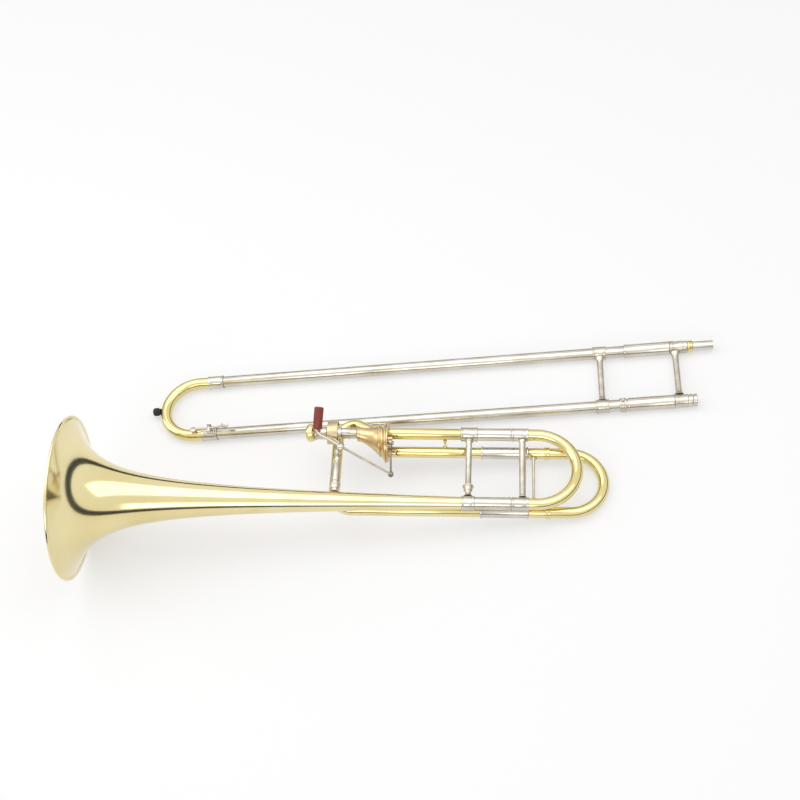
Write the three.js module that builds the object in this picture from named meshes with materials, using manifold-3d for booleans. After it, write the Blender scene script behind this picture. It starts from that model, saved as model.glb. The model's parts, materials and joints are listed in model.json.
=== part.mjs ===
// Tenor trombone with an axial-flow valve attachment, taken apart as it is stored:
// the bell section lies in front and the hand slide lies flat behind it.
// Units are millimetres and +Z is up.
//
// The bell section is modelled in its own frame: x runs from the bell's rim towards the
// tuning bow, y from the bell's axis towards the gooseneck, z up. The hand slide's frame has
// x running from its crook towards its tenon. Each is then laid on the floor as a group.
import * as THREE from 'three';
import { mergeVertices } from 'three/addons/utils/BufferGeometryUtils.js';
import Module from 'manifold-3d';

const wasm = await Module();
wasm.setup();

// ---------------------------------------------------------------- driving dimensions

const GAP = 0.3;              // gap kept between pieces that rest on or sit in each other
const SIDES = 12;             // facets round a tube
const FINE = 8;               // facets round a small pin or rod

// Bell
const BELL_RADIUS = 108;
const BELL_LENGTH = 518;      // rim to the end of the stem
const BELL_WALL = 1.3;
const RIM_BEAD = 1.9;
const FLARE_POWER = 0.8;      // how quickly the flare opens
const FLARE_SPREAD = 28.8;    // and over what length

// Tubes of the bell section
const LEG_SPACING = 106;      // bell axis to gooseneck axis
const TUBE_R = 7.6;           // outside of the brass main tube
const STEM_RADIUS = TUBE_R + 0.4; // outside of the bell's small end, a little over the tubes'
const TUBE_WALL = 0.8;
const SLEEVE_WALL = 0.7;      // nickel tubes that the slides' legs run in
const LEG_WALL = 0.7;         // inner legs of the tuning slides
const SLIDE_FIT = 0.3;        // gap between a leg and its sleeve
const FERRULE_WALL = 1.2;
const FERRULE_LENGTH = 17;

// Stations along the bell section, all carried by the end of the bell's stem
const RECEIVER_REACH = 214;   // from the stem's end back to the mouth of the slide receiver
const RECEIVER_LENGTH = 45;
const INLET_LENGTH = 21;      // from the receiver to the valve
const VALVE_LENGTH = 39;
const RECEIVER_START = BELL_LENGTH - RECEIVER_REACH;
const RECEIVER_END = RECEIVER_START + RECEIVER_LENGTH;
const VALVE_START = RECEIVER_END + INLET_LENGTH;
const VALVE_END = VALVE_START + VALVE_LENGTH;
const BAND_X = RECEIVER_START + 34;
const BAND_R = 16;
const FRONT_BRACE_X = RECEIVER_START + 42;
const REAR_BRACE_X = BELL_LENGTH + 1;
const BRACE_JOINT_Y = 33;     // where each brace comes apart, above the bell's axis
const SLEEVE_LENGTH = 56;
const TUNING_BRACE_X = BELL_LENGTH + 71;
const BOW_X = BELL_LENGTH + 89; // start of the main bow's half circle
const GOOSENECK_STAY_X = BELL_LENGTH - 31;
const BELL_STAY_X = BELL_LENGTH - 48;

// F attachment
const F_STEP = 16;            // and its upper leg this far towards the bell
const F_TUBE_R = 7.4;
const F_CLEARANCE = 0.26;     // kept between the bell and the valve loop's tube below it
const F_BOW_X = BELL_LENGTH + 132; // start of the valve loop's half circle
const F_BOW_RADIUS = 45;
const F_SLEEVE_LENGTH = 62;
const F_BRACE_X = BELL_LENGTH + 86;
const F_FERRULE_X = F_BRACE_X + 18;
const F_TURN_X = RECEIVER_END - 6; // where the return tube crosses under the receiver
const F_CORNER_R = 24;
// The valve loop lies this far below the main tubes, just clear of the bell.
const F_DROP = bellRadius(F_TURN_X + F_CORNER_R / 2) + F_TUBE_R + F_CLEARANCE;

// Valve
const VALVE_SMALL_R = 10.4;
const VALVE_FLANGE_R = 27.5;
const VALVE_MOUTH_R = 19.5;   // bore of the casing's wide end
const PLATE_THICKNESS = 2.6;
const ROTOR_SHAFT_R = 2.2;
const ARM_LENGTH = 25;
const ARM_SWING = 21;         // degrees each side of the arm's middle position
const PUSH_ROD_LENGTH = 45;

// Hand slide
const HAND_SPACING = 90;      // between the hand slide's two tubes
const INNER_R = 6.9;          // inner slide tube, outside
const OUTER_R = 8.0;          // outer slide tube, outside
const OUTER_WALL = 0.8;
const BARREL_R = 9.6;
const BARREL_LENGTH = 62;
const SLIDE_LENGTH = 640;     // of the straight outer tubes, between their ferrules' faces
const HAND_FERRULE = 22;
const TENON_R = 6.6;
const TENON_LENGTH = 27;
const COLLAR_R = 8.6;
const COLLAR_LENGTH = 7;
const HAND_YAW = 1;           // degrees the stored hand slide is turned on the floor
const HAND_END = [845, 213];  // floor place of the hand slide's tenon end

// ---------------------------------------------------------------- materials

const brass = { color: 0xd9c36a, roughness: 0.22, metalness: 1 };
const nickel = { color: 0xd8d4ca, roughness: 0.3, metalness: 1 };
const bronze = { color: 0xd9b77a, roughness: 0.35, metalness: 1 };
const cream = { color: 0xd9c9a8, roughness: 0.4, metalness: 1 };
const steel = { color: 0x8e8c88, roughness: 0.35, metalness: 1 };
const grip = { color: 0x9a3a34, roughness: 0.7, metalness: 0 };
const cork = { color: 0xb98d5b, roughness: 0.9, metalness: 0 };
const rubber = { color: 0x222222, roughness: 0.8, metalness: 0 };

// ---------------------------------------------------------------- geometry helpers

const v3 = (x, y, z) => new THREE.Vector3(x, y, z);
const X_AXIS = v3(1, 0, 0);
const rad = THREE.MathUtils.degToRad;

function toSolid(geometry) {
  const bare = geometry.clone();
  bare.deleteAttribute('normal');
  bare.deleteAttribute('uv');
  const merged = mergeVertices(bare, 1e-4);
  return new wasm.Manifold(new wasm.Mesh({
    numProp: 3,
    vertProperties: new Float32Array(merged.attributes.position.array),
    triVerts: new Uint32Array(merged.index.array),
  }));
}

function toGeometry(solid) {
  const mesh = solid.getMesh();
  const geometry = new THREE.BufferGeometry();
  geometry.setAttribute('position', new THREE.BufferAttribute(mesh.vertProperties, 3));
  geometry.setIndex(new THREE.BufferAttribute(mesh.triVerts, 1));
  return geometry;
}

function join(...geometries) {
  return toGeometry(geometries.map(toSolid).reduce((sum, next) => sum.add(next)));
}

function cut(body, ...tools) {
  return toGeometry(tools.map(toSolid).reduce((sum, next) => sum.subtract(next), toSolid(body)));
}

// Turns a profile of [distance along the axis, radius] pairs about an axis that starts at
// `from` and points along `direction`. A profile that starts and ends at radius 0 is solid;
// any other is closed on itself and makes a ring.
function turned(from, direction, profile, sides = SIDES) {
  const points = profile.map(([along, radius]) => new THREE.Vector2(radius, along));
  const ring = profile[0][1] > 0;
  if (ring) points.push(points[0].clone());
  const geometry = new THREE.LatheGeometry(points, sides);
  const area = profile.reduce((sum, [a0, r0], i) => {
    const [a1, r1] = profile[(i + 1) % profile.length];
    return sum + (r0 * a1 - r1 * a0);
  }, 0);
  if (area < 0) flip(geometry);
  const turn = new THREE.Quaternion().setFromUnitVectors(v3(0, 1, 0), direction.clone().normalize());
  geometry.applyQuaternion(turn);
  geometry.translate(from.x, from.y, from.z);
  return geometry;
}

function flip(geometry) {
  const index = geometry.index.array;
  for (let i = 0; i < index.length; i += 3) {
    [index[i], index[i + 1]] = [index[i + 1], index[i]];
  }
}

function pipe(from, to, outer, inner, sides = SIDES) {
  const axis = to.clone().sub(from);
  const length = axis.length();
  return turned(from, axis, [[0, inner], [0, outer], [length, outer], [length, inner]], sides);
}

function rod(from, to, radius, sides = FINE) {
  const axis = to.clone().sub(from);
  const length = axis.length();
  return turned(from, axis, [[0, 0], [0, radius], [length, radius], [length, 0]], sides);
}

function ball(centre, radius) {
  const geometry = new THREE.SphereGeometry(radius, FINE, 6);
  geometry.translate(centre.x, centre.y, centre.z);
  return geometry;
}

function block(centre, size) {
  const geometry = new THREE.BoxGeometry(size.x, size.y, size.z);
  geometry.translate(centre.x, centre.y, centre.z);
  return geometry;
}

// A round bar or, with an inner radius, a tube bent along a curve.
function bent(curve, outer, inner = 0, steps = 16, sides = SIDES) {
  const circle = (radius) => {
    const points = [];
    for (let i = 0; i < sides; i += 1) {
      const angle = (i / sides) * 2 * Math.PI;
      points.push(new THREE.Vector2(radius * Math.cos(angle), radius * Math.sin(angle)));
    }
    return points;
  };
  const section = new THREE.Shape(circle(outer));
  if (inner > 0) section.holes.push(new THREE.Path(circle(inner)));
  return new THREE.ExtrudeGeometry(section, { steps, extrudePath: curve, curveSegments: 1 });
}

// A bow: straight from `start` along x, half round towards -y, and straight back.
class Bow extends THREE.Curve {
  constructor(start, straight, radius, side = 1) {
    super();
    Object.assign(this, { start, straight, radius, side });
  }

  getPoint(t) {
    const { start, straight, radius, side } = this;
    const arc = Math.PI * radius;
    const along = t * (2 * straight + arc);
    if (along <= straight) return v3(start.x + side * along, start.y, start.z);
    if (along >= straight + arc) {
      return v3(start.x + side * (2 * straight + arc - along), start.y - 2 * radius, start.z);
    }
    const angle = (along - straight) / radius;
    const reach = straight + radius * Math.sin(angle);
    return v3(start.x + side * reach, start.y - radius * (1 - Math.cos(angle)), start.z);
  }
}

// A circular arc that leaves `start` along `ahead` and turns towards `aside`.
class Arc extends THREE.Curve {
  constructor(start, ahead, aside, radius, angle) {
    super();
    Object.assign(this, { start, ahead, aside, radius, angle });
  }

  getPoint(t) {
    const turn = t * this.angle;
    return this.start.clone()
      .addScaledVector(this.ahead, this.radius * Math.sin(turn))
      .addScaledVector(this.aside, this.radius * (1 - Math.cos(turn)));
  }
}

function piece(group, name, geometry, look) {
  const mesh = new THREE.Mesh(geometry, new THREE.MeshStandardMaterial(look));
  mesh.name = name;
  group.add(mesh);
  return mesh;
}

// ---------------------------------------------------------------- values shared by neighbours

const LEG_R = TUBE_R - 0.2;
const SLEEVE_INNER = LEG_R + SLIDE_FIT;
const SLEEVE_R = SLEEVE_INNER + SLEEVE_WALL;
const FERRULE_INNER = SLEEVE_R + GAP;
const FERRULE_R = FERRULE_INNER + FERRULE_WALL;
const SLEEVE_START = BELL_LENGTH + GAP;
const SLEEVE_END = SLEEVE_START + SLEEVE_LENGTH;
const BOW_START = SLEEVE_END + GAP;
const BOW_RADIUS = LEG_SPACING / 2;
const BOW_RING_R = TUBE_R + GAP + FERRULE_WALL;
const LEG_START = SLEEVE_START + 3;

const F_Y = LEG_SPACING - F_STEP;
const F_LOW_Y = F_Y - 2 * F_BOW_RADIUS;
const F_LEG_R = F_TUBE_R - 0.4;
const F_SLEEVE_INNER = F_LEG_R + SLIDE_FIT;
const F_SLEEVE_R = F_SLEEVE_INNER + SLEEVE_WALL;
const F_SLEEVE_END = F_BRACE_X - 7;
const F_SLEEVE_START = F_SLEEVE_END - F_SLEEVE_LENGTH;
const F_BOW_START = F_SLEEVE_END + GAP;
const F_RING_R = F_TUBE_R + GAP + FERRULE_WALL;

const RECEIVER_R = 8.6;
const RECEIVER_INNER = TENON_R + GAP;
const INLET_R = 7.4;
const PLATE_BACK = VALVE_END + GAP + PLATE_THICKNESS;
const ARM_X = PLATE_BACK + 4;

// The two ports of the valve's back plate, and the rotor's axis half way between them.
const mainAxis = v3(0, LEG_SPACING, 0);
const valveAxis = v3(0, LEG_SPACING - F_STEP / 2, -F_DROP / 2);
const portWay = v3(0, F_STEP, F_DROP).normalize();
const armWay = v3(0, -F_DROP, F_STEP).normalize();

const at = (x, axis) => v3(x, axis.y, axis.z);

// Outside radius of the bell at a distance from the rim.
function bellRadius(x) {
  const flare = (u) => BELL_RADIUS * (FLARE_SPREAD / (u + FLARE_SPREAD)) ** FLARE_POWER;
  const excess = flare(BELL_LENGTH) - STEM_RADIUS;
  return flare(x) - excess * (x / BELL_LENGTH) ** 2;
}

// ---------------------------------------------------------------- bell section, fixed

function bell() {
  const stations = 12;
  const outside = [];
  const inside = [];
  for (let i = stations; i >= 0; i -= 1) {
    const x = RIM_BEAD + (BELL_LENGTH - RIM_BEAD) * (i / stations) ** 2.4;
    const slope = (bellRadius(x + 0.5) - bellRadius(x - 0.5));
    const tilt = Math.hypot(1, slope);
    const wallX = i === stations ? x : x + BELL_WALL * slope / tilt;
    outside.push([x, bellRadius(x)]);
    inside.unshift([wallX, bellRadius(x) - BELL_WALL / tilt]);
  }
  const bead = [0, 45, 90, 135, 180].map((angle) => [
    RIM_BEAD * (0.3 + Math.cos(rad(angle))),
    BELL_RADIUS - RIM_BEAD * (1 - Math.sin(rad(angle))),
  ]);
  return turned(v3(0, 0, 0), X_AXIS, [...outside, ...bead, ...inside], 32);
}

function ferrule(x, y, length) {
  const half = length / 2;
  const rim = 1.6;
  return turned(v3(x - half, y, 0), X_AXIS, [
    [0, FERRULE_INNER], [0, FERRULE_R], [rim, FERRULE_R], [rim + 0.6, FERRULE_R - 0.5],
    [length - rim - 0.6, FERRULE_R - 0.5], [length - rim, FERRULE_R], [length, FERRULE_R],
    [length, FERRULE_INNER],
  ]);
}

function outerSleeve(y) {
  return pipe(v3(SLEEVE_START, y, 0), v3(SLEEVE_END, y, 0), SLEEVE_R, SLEEVE_INNER);
}

function buildMainTubes(group) {
  piece(group, 'bell', bell(), brass);
  piece(group, 'bell_ferrule', ferrule(REAR_BRACE_X, 0, FERRULE_LENGTH), nickel);
  piece(group, 'bell_outer_sleeve', outerSleeve(0), nickel);
  const neck = pipe(at(PLATE_BACK + GAP, mainAxis), at(BELL_LENGTH, mainAxis), TUBE_R, TUBE_R - TUBE_WALL);
  piece(group, 'gooseneck', neck, brass);
  piece(group, 'gooseneck_ferrule', ferrule(REAR_BRACE_X, LEG_SPACING, FERRULE_LENGTH + 5), nickel);
  piece(group, 'gooseneck_outer_sleeve', outerSleeve(LEG_SPACING), nickel);
}

function buildRearBrace(group) {
  const top = LEG_SPACING - FERRULE_R - GAP;
  const bottom = FERRULE_R + GAP;
  const down = v3(0, -1, 0);
  const postLength = top - BRACE_JOINT_Y;
  const footLength = BRACE_JOINT_Y - GAP - bottom;
  piece(group, 'rear_brace_post', turned(v3(REAR_BRACE_X, top, 0), down, [
    [0, 0], [0, 5.6], [1.5, 5.4], [3, 4], [postLength, 4], [postLength, 0],
  ], FINE), nickel);
  piece(group, 'rear_brace_foot', turned(v3(REAR_BRACE_X, BRACE_JOINT_Y - GAP, 0), down, [
    [0, 0], [0, 6.6], [3, 6.6], [4, 5], [8, 4.6], [11, 2.8], [14, 2.8], [16, 3.8], [18, 3],
    [footLength - 3, 3.4], [footLength, 5.8], [footLength, 0],
  ], FINE), nickel);
}

function buildReceiver(group) {
  const collar = 2;
  const nutEnd = RECEIVER_START + 9.5;
  piece(group, 'slide_receiver', turned(at(0, mainAxis), X_AXIS, [
    [RECEIVER_START, RECEIVER_INNER], [RECEIVER_START, RECEIVER_R], [nutEnd + GAP, RECEIVER_R],
    [nutEnd + GAP, RECEIVER_R + 1.4], [nutEnd + GAP + collar, RECEIVER_R + 1.4],
    [nutEnd + GAP + collar, RECEIVER_R], [RECEIVER_END, RECEIVER_R], [RECEIVER_END, RECEIVER_INNER],
  ]), nickel);
  piece(group, 'valve_inlet_tube', pipe(
    at(RECEIVER_END + GAP, mainAxis), at(VALVE_START - GAP, mainAxis), INLET_R, INLET_R - TUBE_WALL,
  ), nickel);
}

// The saddle is a clamp ring on the receiver that carries a wide curved band over it.
function buildSaddle(group) {
  const width = 14;
  const start = at(BAND_X - width / 2, mainAxis);
  const end = at(BAND_X + width / 2, mainAxis);
  const clampInner = RECEIVER_R + GAP;
  const clamp = pipe(start, end, clampInner + 1.4, clampInner);
  const band = pipe(start, end, BAND_R, BAND_R - 1.6, 24);
  const below = block(at(BAND_X, v3(0, LEG_SPACING + 4, -BAND_R)), v3(width * 2, BAND_R * 3, BAND_R * 1.5));
  const ear = (side) => block(
    v3(BAND_X, LEG_SPACING + side * (clampInner + BAND_R) / 2, -2.5),
    v3(width, BAND_R - clampInner - 1, 2.4),
  );
  piece(group, 'lever_saddle', join(clamp, cut(band, below), ear(1), ear(-1)), cream);
}

function buildFrontBrace(group) {
  const down = v3(0, -1, 0);
  const top = LEG_SPACING - BAND_R - GAP;
  const shoulder = BRACE_JOINT_Y + 24;
  const bottom = bellRadius(FRONT_BRACE_X - 6) + GAP;
  const upper = top - shoulder;
  const foot = BRACE_JOINT_Y - GAP - bottom;
  const x = FRONT_BRACE_X;
  const whole = top - BRACE_JOINT_Y;
  piece(group, 'front_brace_post', turned(v3(x, top, 0), down, [
    [0, 0], [0, 3.4], [8, 3.4], [9, 4.6], [15, 4.6], [16, 3], [20, 3], [21, 4.4], [28, 4.4],
    [29, 3], [upper, 3], [upper, 5], [upper + 1, 5.6], [whole, 5.6], [whole, 0],
  ], FINE), nickel);
  piece(group, 'front_brace_foot', turned(v3(x, BRACE_JOINT_Y - GAP, 0), down, [
    [0, 0], [0, 7.4], [4, 7.4], [5, 6], [9, 5.6], [11, 3.6], [foot - 3, 3.6], [foot, 6.4], [foot, 0],
  ], FINE), nickel);
}

// ---------------------------------------------------------------- valve

const casingProfile = [
  [0, 10.4], [3, 10.4], [4, 9.6], [14, 13], [24, 17.5], [29, 20.5], [30, 22], [32, 22],
  [33, 21], [VALVE_LENGTH - 3, VALVE_FLANGE_R - 3.5], [VALVE_LENGTH, VALVE_FLANGE_R],
];

// Slides every point sideways so that an axis that starts on the main tube at the valve's
// small end reaches the rotor's axis at its large end.
function leaned(geometry) {
  const length = VALVE_END - VALVE_START;
  const kY = (valveAxis.y - mainAxis.y) / length;
  const kZ = (valveAxis.z - mainAxis.z) / length;
  const shear = new THREE.Matrix4().set(
    1, 0, 0, 0,
    kY, 1, 0, -kY * VALVE_START,
    kZ, 0, 1, -kZ * VALVE_START,
    0, 0, 0, 1,
  );
  return geometry.applyMatrix4(shear);
}

// The return tube comes up past the receiver and curls over into the casing's far side.
const RETURN_ARC_R = 20;
const RETURN_ARC = rad(125);
const RETURN_REACH = 30;      // straight end, from the arc into the casing
const returnAside = v3(0.95, 0, 0.3).normalize();
const returnArc = new Arc(
  v3(F_TURN_X, LEG_SPACING + 2, -F_DROP), v3(0, 1, 0), returnAside, RETURN_ARC_R, RETURN_ARC,
);

function returnEnd() {
  const end = returnArc.getPoint(1);
  const way = v3(0, 1, 0).multiplyScalar(Math.cos(RETURN_ARC))
    .addScaledVector(returnAside, Math.sin(RETURN_ARC));
  return { end, way, tip: end.clone().addScaledVector(way, RETURN_REACH) };
}

function buildValve(group) {
  const wall = 1.6;
  const outside = [[0, 0], ...casingProfile, [VALVE_LENGTH, 0]];
  const hollow = casingProfile.map(([x, r]) => [x, Math.max(r - wall, 8)]);
  hollow[hollow.length - 1][1] = VALVE_MOUTH_R;
  hollow[hollow.length - 2][1] = VALVE_MOUTH_R - 0.5;
  const seat = at(VALVE_START, mainAxis);
  const body = leaned(turned(seat, X_AXIS, outside, 24));
  const through = VALVE_LENGTH + 2;
  const inner = [[-1, 0], [-1, hollow[0][1]], ...hollow, [through, VALVE_MOUTH_R], [through, 0]];
  const cavity = leaned(turned(seat, X_AXIS, inner, 24));
  const { end, way, tip } = returnEnd();
  const back = end.clone().addScaledVector(way, -4);
  const port = rod(back, end.clone().addScaledVector(way, 14), F_TUBE_R - TUBE_WALL, SIDES);
  piece(group, 'valve_casing', cut(body, cavity, port), bronze);

  const plateStart = at(VALVE_END + GAP, valveAxis);
  const plate = rod(plateStart, at(PLATE_BACK, valveAxis), VALVE_FLANGE_R - 1.5, 24);
  const hole = (axis, radius) => rod(at(VALVE_END - 2, axis), at(PLATE_BACK + 3, axis), radius, SIDES);
  const fPort = v3(0, F_Y, -F_DROP);

  const swing = rad(ARM_SWING);
  const armTip = valveAxis.clone()
    .addScaledVector(armWay, ARM_LENGTH * Math.cos(swing))
    .addScaledVector(portWay, ARM_LENGTH * Math.sin(swing));
  piece(group, 'valve_rotor', turned(at(0, valveAxis), X_AXIS, [
    [VALVE_END - 21, 0], [VALVE_END - 21, 3], [VALVE_END - 9, 12], [VALVE_END - 1, 15],
    [VALVE_END - 1, ROTOR_SHAFT_R],
    [ARM_X - 1.6 - GAP, ROTOR_SHAFT_R], [ARM_X - 1.6 - GAP, 0],
  ]), steel);
  const bar = rod(at(ARM_X, valveAxis), at(ARM_X, armTip), 1.4, 8);
  const hub = rod(at(ARM_X - 1.6, valveAxis), at(ARM_X + 3, valveAxis), 2.8, FINE);
  piece(group, 'rotor_arm', join(bar, hub, ball(at(ARM_X, armTip), 2.6)), nickel);

  // Two stops stand on the plate where the arm meets them at each end of its swing.
  const stopReach = 17;
  const stopAngle = swing + Math.asin(5 / stopReach);
  const stops = [1, -1].map((side) => {
    const place = valveAxis.clone()
      .addScaledVector(armWay, stopReach * Math.cos(stopAngle))
      .addScaledVector(portWay, side * stopReach * Math.sin(stopAngle));
    return rod(at(VALVE_END + 1, place), at(ARM_X + 2, place), 2.6, FINE);
  });
  piece(group, 'valve_back_plate', cut(
    join(plate, ...stops),
    hole(mainAxis, TUBE_R - TUBE_WALL),
    hole(fPort, F_TUBE_R - TUBE_WALL),
    hole(valveAxis, ROTOR_SHAFT_R + GAP),
  ), bronze);

  const path = new THREE.CurvePath();
  const corner = v3(F_TURN_X, F_LOW_Y, -F_DROP);
  const before = corner.clone().add(v3(F_CORNER_R, 0, 0));
  const after = corner.clone().add(v3(0, F_CORNER_R, 0));
  path.add(new Arc(before, v3(-1, 0, 0), v3(0, 1, 0), F_CORNER_R, Math.PI / 2));
  path.add(new THREE.LineCurve3(after, returnArc.start));
  path.add(returnArc);
  path.add(new THREE.LineCurve3(end, tip));
  const tube = bent(path, F_TUBE_R, F_TUBE_R - TUBE_WALL, 26, 12);
  const grown = casingProfile.map(([x, r]) => [x, r + GAP]);
  const clear = leaned(turned(seat, X_AXIS, [[0, 0], ...grown, [VALVE_LENGTH, 0]], 24));
  piece(group, 'valve_return_tube', cut(tube, clear), brass);
}

// ---------------------------------------------------------------- F attachment

function fSleeve(y) {
  const ring = 2.4;
  return turned(v3(F_SLEEVE_START, y, -F_DROP), X_AXIS, [
    [0, F_SLEEVE_INNER], [0, F_RING_R], [ring, F_RING_R], [ring, F_SLEEVE_R],
    [F_SLEEVE_LENGTH - ring, F_SLEEVE_R], [F_SLEEVE_LENGTH - ring, F_RING_R],
    [F_SLEEVE_LENGTH, F_RING_R], [F_SLEEVE_LENGTH, F_SLEEVE_INNER],
  ]);
}

function buildFTubes(group) {
  const tube = (from, y) => pipe(
    v3(from, y, -F_DROP), v3(F_SLEEVE_START - GAP, y, -F_DROP), F_TUBE_R, F_TUBE_R - TUBE_WALL,
  );
  piece(group, 'f_outlet_tube', tube(PLATE_BACK + GAP, F_Y), brass);
  piece(group, 'f_lower_tube', tube(F_TURN_X + F_CORNER_R + GAP, F_LOW_Y), brass);
  piece(group, 'f_upper_sleeve', fSleeve(F_Y), nickel);
  piece(group, 'f_lower_sleeve', fSleeve(F_LOW_Y), nickel);

  const stay = (name, x, a, ra, b, rb) => {
    const way = b.clone().sub(a).normalize();
    const from = at(x, a.clone().addScaledVector(way, ra + GAP));
    const to = at(x, b.clone().addScaledVector(way, -rb - GAP));
    const length = from.distanceTo(to);
    piece(group, name, turned(from, to.clone().sub(from), [
      [0, 0], [0, 2.8], [length * 0.3, 1.7], [length * 0.7, 1.7], [length, 2.8], [length, 0],
    ], FINE), brass);
  };
  stay('gooseneck_stay', GOOSENECK_STAY_X, mainAxis, TUBE_R, v3(0, F_Y, -F_DROP), F_TUBE_R);
  const bellAxis = v3(0, 0, 0);
  const besideStay = bellRadius(BELL_STAY_X - 3);
  stay('bell_stay', BELL_STAY_X, bellAxis, besideStay, v3(0, F_LOW_Y, -F_DROP), F_TUBE_R);
}

function legs(group, name, start, end, ys, z, radius) {
  const names = [`${name}_upper_leg`, `${name}_lower_leg`];
  ys.forEach((y, i) => {
    piece(group, names[i], pipe(v3(start, y, z), v3(end - GAP, y, z), radius, radius - LEG_WALL), nickel);
  });
}

function buildFSlide(group) {
  const straight = F_BOW_X - F_BOW_START;
  const bow = new Bow(v3(F_BOW_START, F_Y, -F_DROP), straight, F_BOW_RADIUS);
  const ringHalf = 3.4;
  const rings = [F_Y, F_LOW_Y].map((y) => pipe(
    v3(F_FERRULE_X - ringHalf, y, -F_DROP), v3(F_FERRULE_X + ringHalf, y, -F_DROP),
    F_RING_R, F_TUBE_R - TUBE_WALL / 2,
  ));
  piece(group, 'f_bow', join(bent(bow, F_TUBE_R, F_TUBE_R - TUBE_WALL, 24, 12), ...rings), brass);
  legs(group, 'f_slide', F_SLEEVE_START + 3, F_BOW_START, [F_Y, F_LOW_Y], -F_DROP, F_LEG_R);
  const top = F_Y - F_TUBE_R - GAP;
  const length = top - (F_LOW_Y + F_TUBE_R + GAP);
  piece(group, 'f_slide_brace', turned(v3(F_BRACE_X, top, -F_DROP), v3(0, -1, 0), [
    [0, 0], [0, 4.4], [1.4, 4.2], [4, 1.9], [length - 4, 1.9], [length - 1.4, 4.2],
    [length, 4.4], [length, 0],
  ], FINE), nickel);
}

// ---------------------------------------------------------------- main tuning slide

function buildTuningSlide(group) {
  const bow = new Bow(v3(BOW_START, LEG_SPACING, 0), BOW_X - BOW_START, BOW_RADIUS);
  piece(group, 'tuning_bow', bent(bow, TUBE_R, TUBE_R - TUBE_WALL, 22), brass);
  legs(group, 'tuning', LEG_START, BOW_START, [LEG_SPACING, 0], 0, LEG_R);
  const half = 8;
  [['tuning_upper_ferrule', LEG_SPACING], ['tuning_lower_ferrule', 0]].forEach(([name, y]) => {
    piece(group, name, turned(v3(TUNING_BRACE_X - half, y, 0), X_AXIS, [
      [0, TUBE_R + GAP], [0, BOW_RING_R], [1.6, BOW_RING_R], [2.2, BOW_RING_R - 0.5],
      [2 * half - 2.2, BOW_RING_R - 0.5], [2 * half - 1.6, BOW_RING_R], [2 * half, BOW_RING_R],
      [2 * half, TUBE_R + GAP],
    ]), nickel);
  });
  const top = LEG_SPACING - BOW_RING_R - GAP;
  const length = top - BOW_RING_R - GAP;
  piece(group, 'tuning_brace', turned(v3(TUNING_BRACE_X, top, 0), v3(0, -1, 0), [
    [0, 0], [0, 5.2], [1.2, 5], [2.4, 3.9], [length - 2.4, 3.9], [length - 1.2, 5],
    [length, 5.2], [length, 0],
  ], FINE), nickel);
}

// ---------------------------------------------------------------- trigger

const PIVOT = v3(RECEIVER_START + 47, LEG_SPACING - 30, 13.5);
const LEVER_R = 2;
const linkTop = at(ARM_X, valveAxis.clone()
  .addScaledVector(armWay, ARM_LENGTH * Math.cos(rad(ARM_SWING)))
  .addScaledVector(portWay, ARM_LENGTH * Math.sin(rad(ARM_SWING))));
const linkFoot = linkTop.clone().addScaledVector(portWay, -PUSH_ROD_LENGTH);

function buildTrigger(lever, link, base) {
  const pinEnd = PIVOT.clone().addScaledVector(armWay, -6.5);
  const pinTop = PIVOT.clone().addScaledVector(armWay, 4.6);
  const bandAngle = rad(28);
  const landing = v3(
    BAND_X + 3,
    LEG_SPACING - (BAND_R + 1.6) * Math.cos(bandAngle),
    (BAND_R + 1.6) * Math.sin(bandAngle),
  );
  piece(base, 'lever_pivot', join(
    rod(pinEnd, pinTop, 1.8),
    rod(PIVOT.clone().addScaledVector(armWay, 3.2), pinTop, 3.2),
    rod(pinEnd.clone().addScaledVector(armWay, -2), pinEnd.clone().addScaledVector(armWay, 2.4), 3.6),
    rod(pinEnd, landing, 2.2),
  ), nickel);

  const hub = rod(
    PIVOT.clone().addScaledVector(armWay, -3.2), PIVOT.clone().addScaledVector(armWay, 2.9), 4.4,
  );
  const hubHole = rod(
    PIVOT.clone().addScaledVector(armWay, -9), PIVOT.clone().addScaledVector(armWay, 9), 2.1,
  );
  const beside = (x, y, z) => v3(RECEIVER_START + x, LEG_SPACING + y, z);
  const gripStart = beside(15, -4, 20);
  const gripEnd = beside(17, 14, 36);
  const points = [
    PIVOT, beside(32, -21, 15), beside(20, -14, 16), beside(14.6, -8, 17), gripStart, gripEnd,
  ];
  const curve = new THREE.CatmullRomCurve3(points);
  const arm = bent(curve, LEVER_R, 0, 16, 8);
  const toFoot = linkFoot.clone().sub(PIVOT).normalize();
  const armEnd = linkFoot.clone().addScaledVector(toFoot, -4.2);
  const reach = rod(PIVOT, armEnd, 1.5, 8);
  piece(lever, 'trigger_lever', cut(join(hub, arm, reach), hubHole), nickel);
  const handle = rod(
    gripStart.clone().lerp(gripEnd, -0.12), gripEnd.clone().lerp(gripStart, -0.1), 6.2, SIDES,
  );
  const grown = bent(curve, LEVER_R + GAP, 0, 16, 8);
  piece(lever, 'trigger_grip', cut(handle, grown), grip);
  const eyeReach = armWay.clone().multiplyScalar(2.4);
  piece(link, 'push_rod', join(
    rod(linkFoot.clone().sub(eyeReach), linkFoot.clone().add(eyeReach), 3.6),
    rod(linkFoot, linkTop.clone().addScaledVector(portWay, -4), 1.3, 8),
    rod(linkTop.clone().addScaledVector(portWay, -9), linkTop.clone().addScaledVector(portWay, -3.2), 2.6),
  ), steel);
}

function buildLockNut(group) {
  const bore = RECEIVER_R + GAP;
  piece(group, 'bell_lock_nut', turned(at(RECEIVER_START - 1.5, mainAxis), X_AXIS, [
    [0, bore], [0, bore + 1.4], [2, bore + 2.8], [4.5, bore + 3.4], [8, bore + 3.2], [10.5, bore + 2],
    [10.5, bore],
  ], 20), brass);
}

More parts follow.
